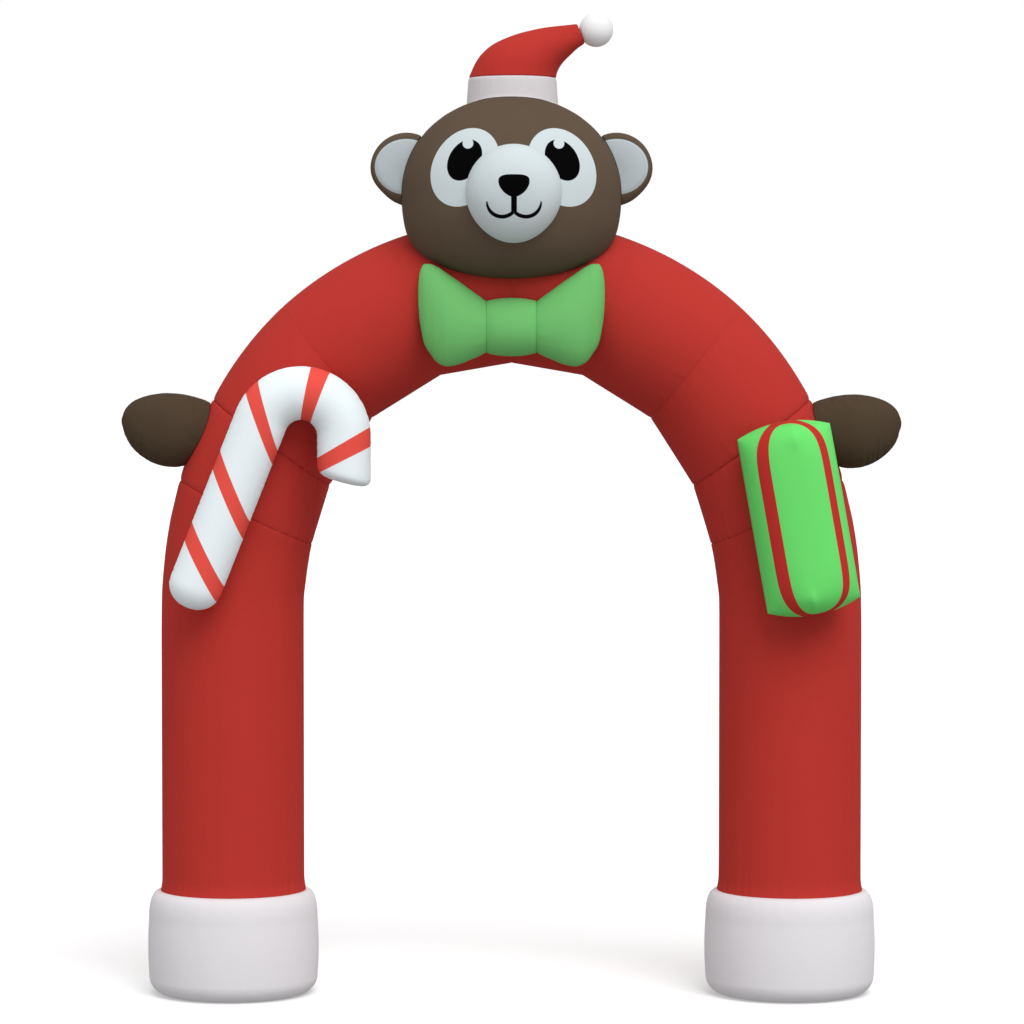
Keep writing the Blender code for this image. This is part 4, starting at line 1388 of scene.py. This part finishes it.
def make_cane(striped):
    """The candy cane: round sections carried along its line, with a seam up each edge."""
    where, heading, run, girth, slant = cane_line()
    angle = 2 * math.pi * np.arange(CANE_SIDES + 1)[None] / CANE_SIDES
    side = CANE_RADIUS * girth[:, None] * np.cos(angle)
    left = np.stack((-heading[:, 1], heading[:, 0]), axis=1)
    lean = slant[:, None] * side
    x = where[:, :1] + left[:, :1] * side + heading[:, :1] * lean
    z = where[:, 1:] + left[:, 1:] * side + heading[:, 1:] * lean
    y = CANE_Y - CANE_HALF_DEPTH * girth[:, None] * np.sin(angle)
    away = np.abs(y - CANE_Y)
    grid_run, grid_angle = np.broadcast_arrays(run[:, None], angle)
    count = stripe_count(np.stack((x, z), axis=-1), grid_run + lean, grid_angle, (where, heading, run))
    maps = {"stripes": np.stack((count, grid_run), axis=-1), "seam": np.stack((away, grid_run), axis=-1)}
    rings = np.stack((x, y, z), axis=-1)[:, :-1]
    away = away[:, :-1]
    ripple = gathers(away, grid_run[:, :-1] * RUN_WAVES, 91, CANE_GATHER)
    centre = np.stack((where[:, 0], np.full(len(where), CANE_Y), where[:, 1]), axis=1)[:, None]
    ripple = (ripple - groove(away, PILLOW_GROOVE, PILLOW_GROOVE_REACH)) * np.minimum(girth * 2, 1)[:, None]
    rings = off_tube(rings + units(rings - centre) * ripple[..., None])
    ends = [(end[0], CANE_Y, end[1]) for end in (where[0], where[-1])]
    dressed(skin("cane_skin", rings, *ends, maps), striped, "candy_cane")


def gift_grid(across, up, face):
    """The gift's front or back: a pillow of four corners that is round in the middle and thin at its
    seams, with a ridge at each end of the front, turned a little and leaned."""
    across, up = np.meshgrid(across, up)
    fuller = GIFT_END_POWER + GIFT_RIDGE_POWER * np.exp(-((across / GIFT_RIDGE_HALF) ** 2))
    full = np.sqrt((1 - np.abs(across) ** GIFT_SIDE_POWER) * (1 - np.abs(up) ** fuller))
    x = GIFT_HALF_WIDTH * across
    z = GIFT_HALF_HEIGHT * up + GIFT_END_CROWN * (1 - across**2) * up**3
    off_ridge = across - np.sign(up) * GIFT_RIDGE_OFF
    ridge = np.exp(-np.abs(off_ridge) / np.where(off_ridge < 0, GIFT_RIDGE_LEFT, GIFT_RIDGE_RIGHT))
    ridge *= np.exp(-(((np.abs(up) - GIFT_RIDGE_UP) / GIFT_RIDGE_TALL) ** 2))
    ridge *= 1 - np.abs(up) ** GIFT_RIDGE_END_POWER
    y = face * (GIFT_HALF_DEPTH * full + np.where(np.abs(up) < 1, ridge * GIFT_RIDGE, 0))
    turned_x = x * math.cos(GIFT_TURN) - y * math.sin(GIFT_TURN)
    turned_y = x * math.sin(GIFT_TURN) + y * math.cos(GIFT_TURN)
    leaned_x = turned_x * math.cos(GIFT_LEAN) - z * math.sin(GIFT_LEAN)
    leaned_z = turned_x * math.sin(GIFT_LEAN) + z * math.cos(GIFT_LEAN)
    points = np.stack((GIFT_X + leaned_x, GIFT_Y + turned_y, GIFT_Z + leaned_z), axis=-1)
    return points, across, up


def make_gift(striped):
    """The gift box: its front and back panel on one border."""
    across = np.sin(np.linspace(-math.pi / 2, math.pi / 2, 101))
    up = np.sin(np.linspace(-math.pi / 2, math.pi / 2, 161))
    front, a, u = gift_grid(across, up, -1)
    back, _, _ = gift_grid(across, up, 1)
    off = np.minimum((1 - np.abs(a)) * GIFT_HALF_WIDTH, (1 - np.abs(u)) * GIFT_HALF_HEIGHT)
    maps = {"gift": np.stack((a, u), axis=-1),
            "seam": np.stack((off, (a + u) * GIFT_HALF_HEIGHT), axis=-1),
            "cloth": np.stack((a * GIFT_HALF_WIDTH, u * GIFT_HALF_HEIGHT), axis=-1)}
    piece = pillow("gift_skin", off_tube(front), off_tube(back), maps)
    dressed(piece, striped, "gift_box")


def make_pieces():
    """Every piece of the arch in its finish."""
    red = woven("red_cloth", RED)
    make_tube(red)
    make_cuffs(woven("cuff_cloth", CUFF_WHITE))
    make_head(woven("head_cloth", BROWN, (eye_grounds, eyes)))
    make_face(woven("face_cloth", FACE_WHITE, (nose, smile)))
    make_hat(red, woven("band_cloth", BAND_WHITE), woven("pompom_cloth", POMPOM_WHITE))
    make_bow(woven("bow_cloth", BOW_GREEN))
    make_mitts(woven("mitt_cloth", DARK_BROWN))
    make_cane(woven("cane_cloth", CANE_WHITE, (cane_stripes,)))
    make_gift(woven("gift_cloth", GIFT_GREEN, (gift_ribbons,)))


# Studio

CAMERA_DISTANCE = 11.10
CAMERA_HEIGHT = 1.771
CAMERA_PITCH = math.radians(2.284)
CAMERA_X = 0.0014
SENSOR = 36.0
FOCAL_PIXELS = 4037
IMAGE_SIDE = 1024


def make_camera():
    """A long lens from in front, a little above the middle and looking slightly down."""
    data = bpy.data.cameras.new("camera")
    data.sensor_width = SENSOR
    data.lens = SENSOR * FOCAL_PIXELS / IMAGE_SIDE
    data.clip_end = 200
    camera = bpy.data.objects.new("camera", data)
    camera.location = (CAMERA_X, ARCH_Y - CAMERA_DISTANCE, CAMERA_HEIGHT)
    camera.rotation_euler = (math.pi / 2 - CAMERA_PITCH, 0, 0)
    bpy.context.scene.collection.objects.link(camera)
    bpy.context.scene.camera = camera


FLOOR_HALF = 60.0
FLOOR_GLOW = 0.14


def make_floor():
    """A pale floor. It throws no light back up, since the sky below the horizon stands for that."""
    mesh = bpy.data.meshes.new("floor")
    corners = [(-FLOOR_HALF, -FLOOR_HALF, 0), (FLOOR_HALF, -FLOOR_HALF, 0),
               (FLOOR_HALF, FLOOR_HALF, 0), (-FLOOR_HALF, FLOOR_HALF, 0)]
    mesh.from_pydata(corners, [], [(0, 1, 2, 3)])
    material = bpy.data.materials.new("floor_paper")
    material.use_nodes = True
    shader = material.node_tree.nodes["Principled BSDF"]
    shader.inputs["Base Color"].default_value = (0.95, 0.95, 0.95, 1)
    shader.inputs["Roughness"].default_value = 0.9
    shader.inputs["Specular IOR Level"].default_value = 0.0
    shader.inputs["Emission Color"].default_value = (1, 1, 1, 1)
    shader.inputs["Emission Strength"].default_value = FLOOR_GLOW
    mesh.materials.append(material)
    floor = bpy.data.objects.new("floor", mesh)
    floor.visible_diffuse = False
    floor.visible_glossy = False
    bpy.context.scene.collection.objects.link(floor)


SKY_ABOVE = 0.74
SKY_LEVEL = 0.62
SKY_BELOW = 0.37


def make_sky():
    """Soft light from all round: brightest overhead, dimmer from below, and plain white to the eye."""
    world = bpy.data.worlds.new("studio")
    world.use_nodes = True
    tree = world.node_tree
    tree.nodes.clear()
    where = tree.nodes.new("ShaderNodeTexCoord")
    apart = tree.nodes.new("ShaderNodeSeparateXYZ")
    tree.links.new(where.outputs["Generated"], apart.inputs[0])
    height = tree.nodes.new("ShaderNodeMapRange")
    height.inputs["From Min"].default_value = -1
    height.inputs["From Max"].default_value = 1
    tree.links.new(apart.outputs["Z"], height.inputs["Value"])
    ramp = tree.nodes.new("ShaderNodeValToRGB")
    ramp.color_ramp.elements[0].color = (SKY_BELOW,) * 3 + (1,)
    ramp.color_ramp.elements[1].color = (SKY_ABOVE,) * 3 + (1,)
    middle = ramp.color_ramp.elements.new(0.5)
    middle.color = (SKY_LEVEL,) * 3 + (1,)
    tree.links.new(height.outputs[0], ramp.inputs[0])
    light = tree.nodes.new("ShaderNodeBackground")
    tree.links.new(ramp.outputs[0], light.inputs["Color"])
    seen = tree.nodes.new("ShaderNodeBackground")
    seen.inputs["Color"].default_value = (1, 1, 1, 1)
    rays = tree.nodes.new("ShaderNodeLightPath")
    mixed = tree.nodes.new("ShaderNodeMixShader")
    tree.links.new(rays.outputs["Is Camera Ray"], mixed.inputs[0])
    tree.links.new(light.outputs[0], mixed.inputs[1])
    tree.links.new(seen.outputs[0], mixed.inputs[2])
    output = tree.nodes.new("ShaderNodeOutputWorld")
    tree.links.new(mixed.outputs[0], output.inputs["Surface"])
    bpy.context.scene.world = world


def make_lamp(name, strength, spread, way):
    """A broad soft sun whose light travels the given way."""
    data = bpy.data.lights.new(name, "SUN")
    data.energy = strength
    data.angle = spread
    lamp = bpy.data.objects.new(name, data)
    lamp.rotation_mode = "QUATERNION"
    lamp.rotation_quaternion = Vector(way).to_track_quat("-Z", "Y")
    bpy.context.scene.collection.objects.link(lamp)


def main():
    bpy.context.scene.view_settings.view_transform = "Standard"
    make_camera()
    make_floor()
    make_sky()
    make_lamp("key", 1.75, math.radians(40), (-0.30, 0.80, -0.93))
    make_pieces()


main()
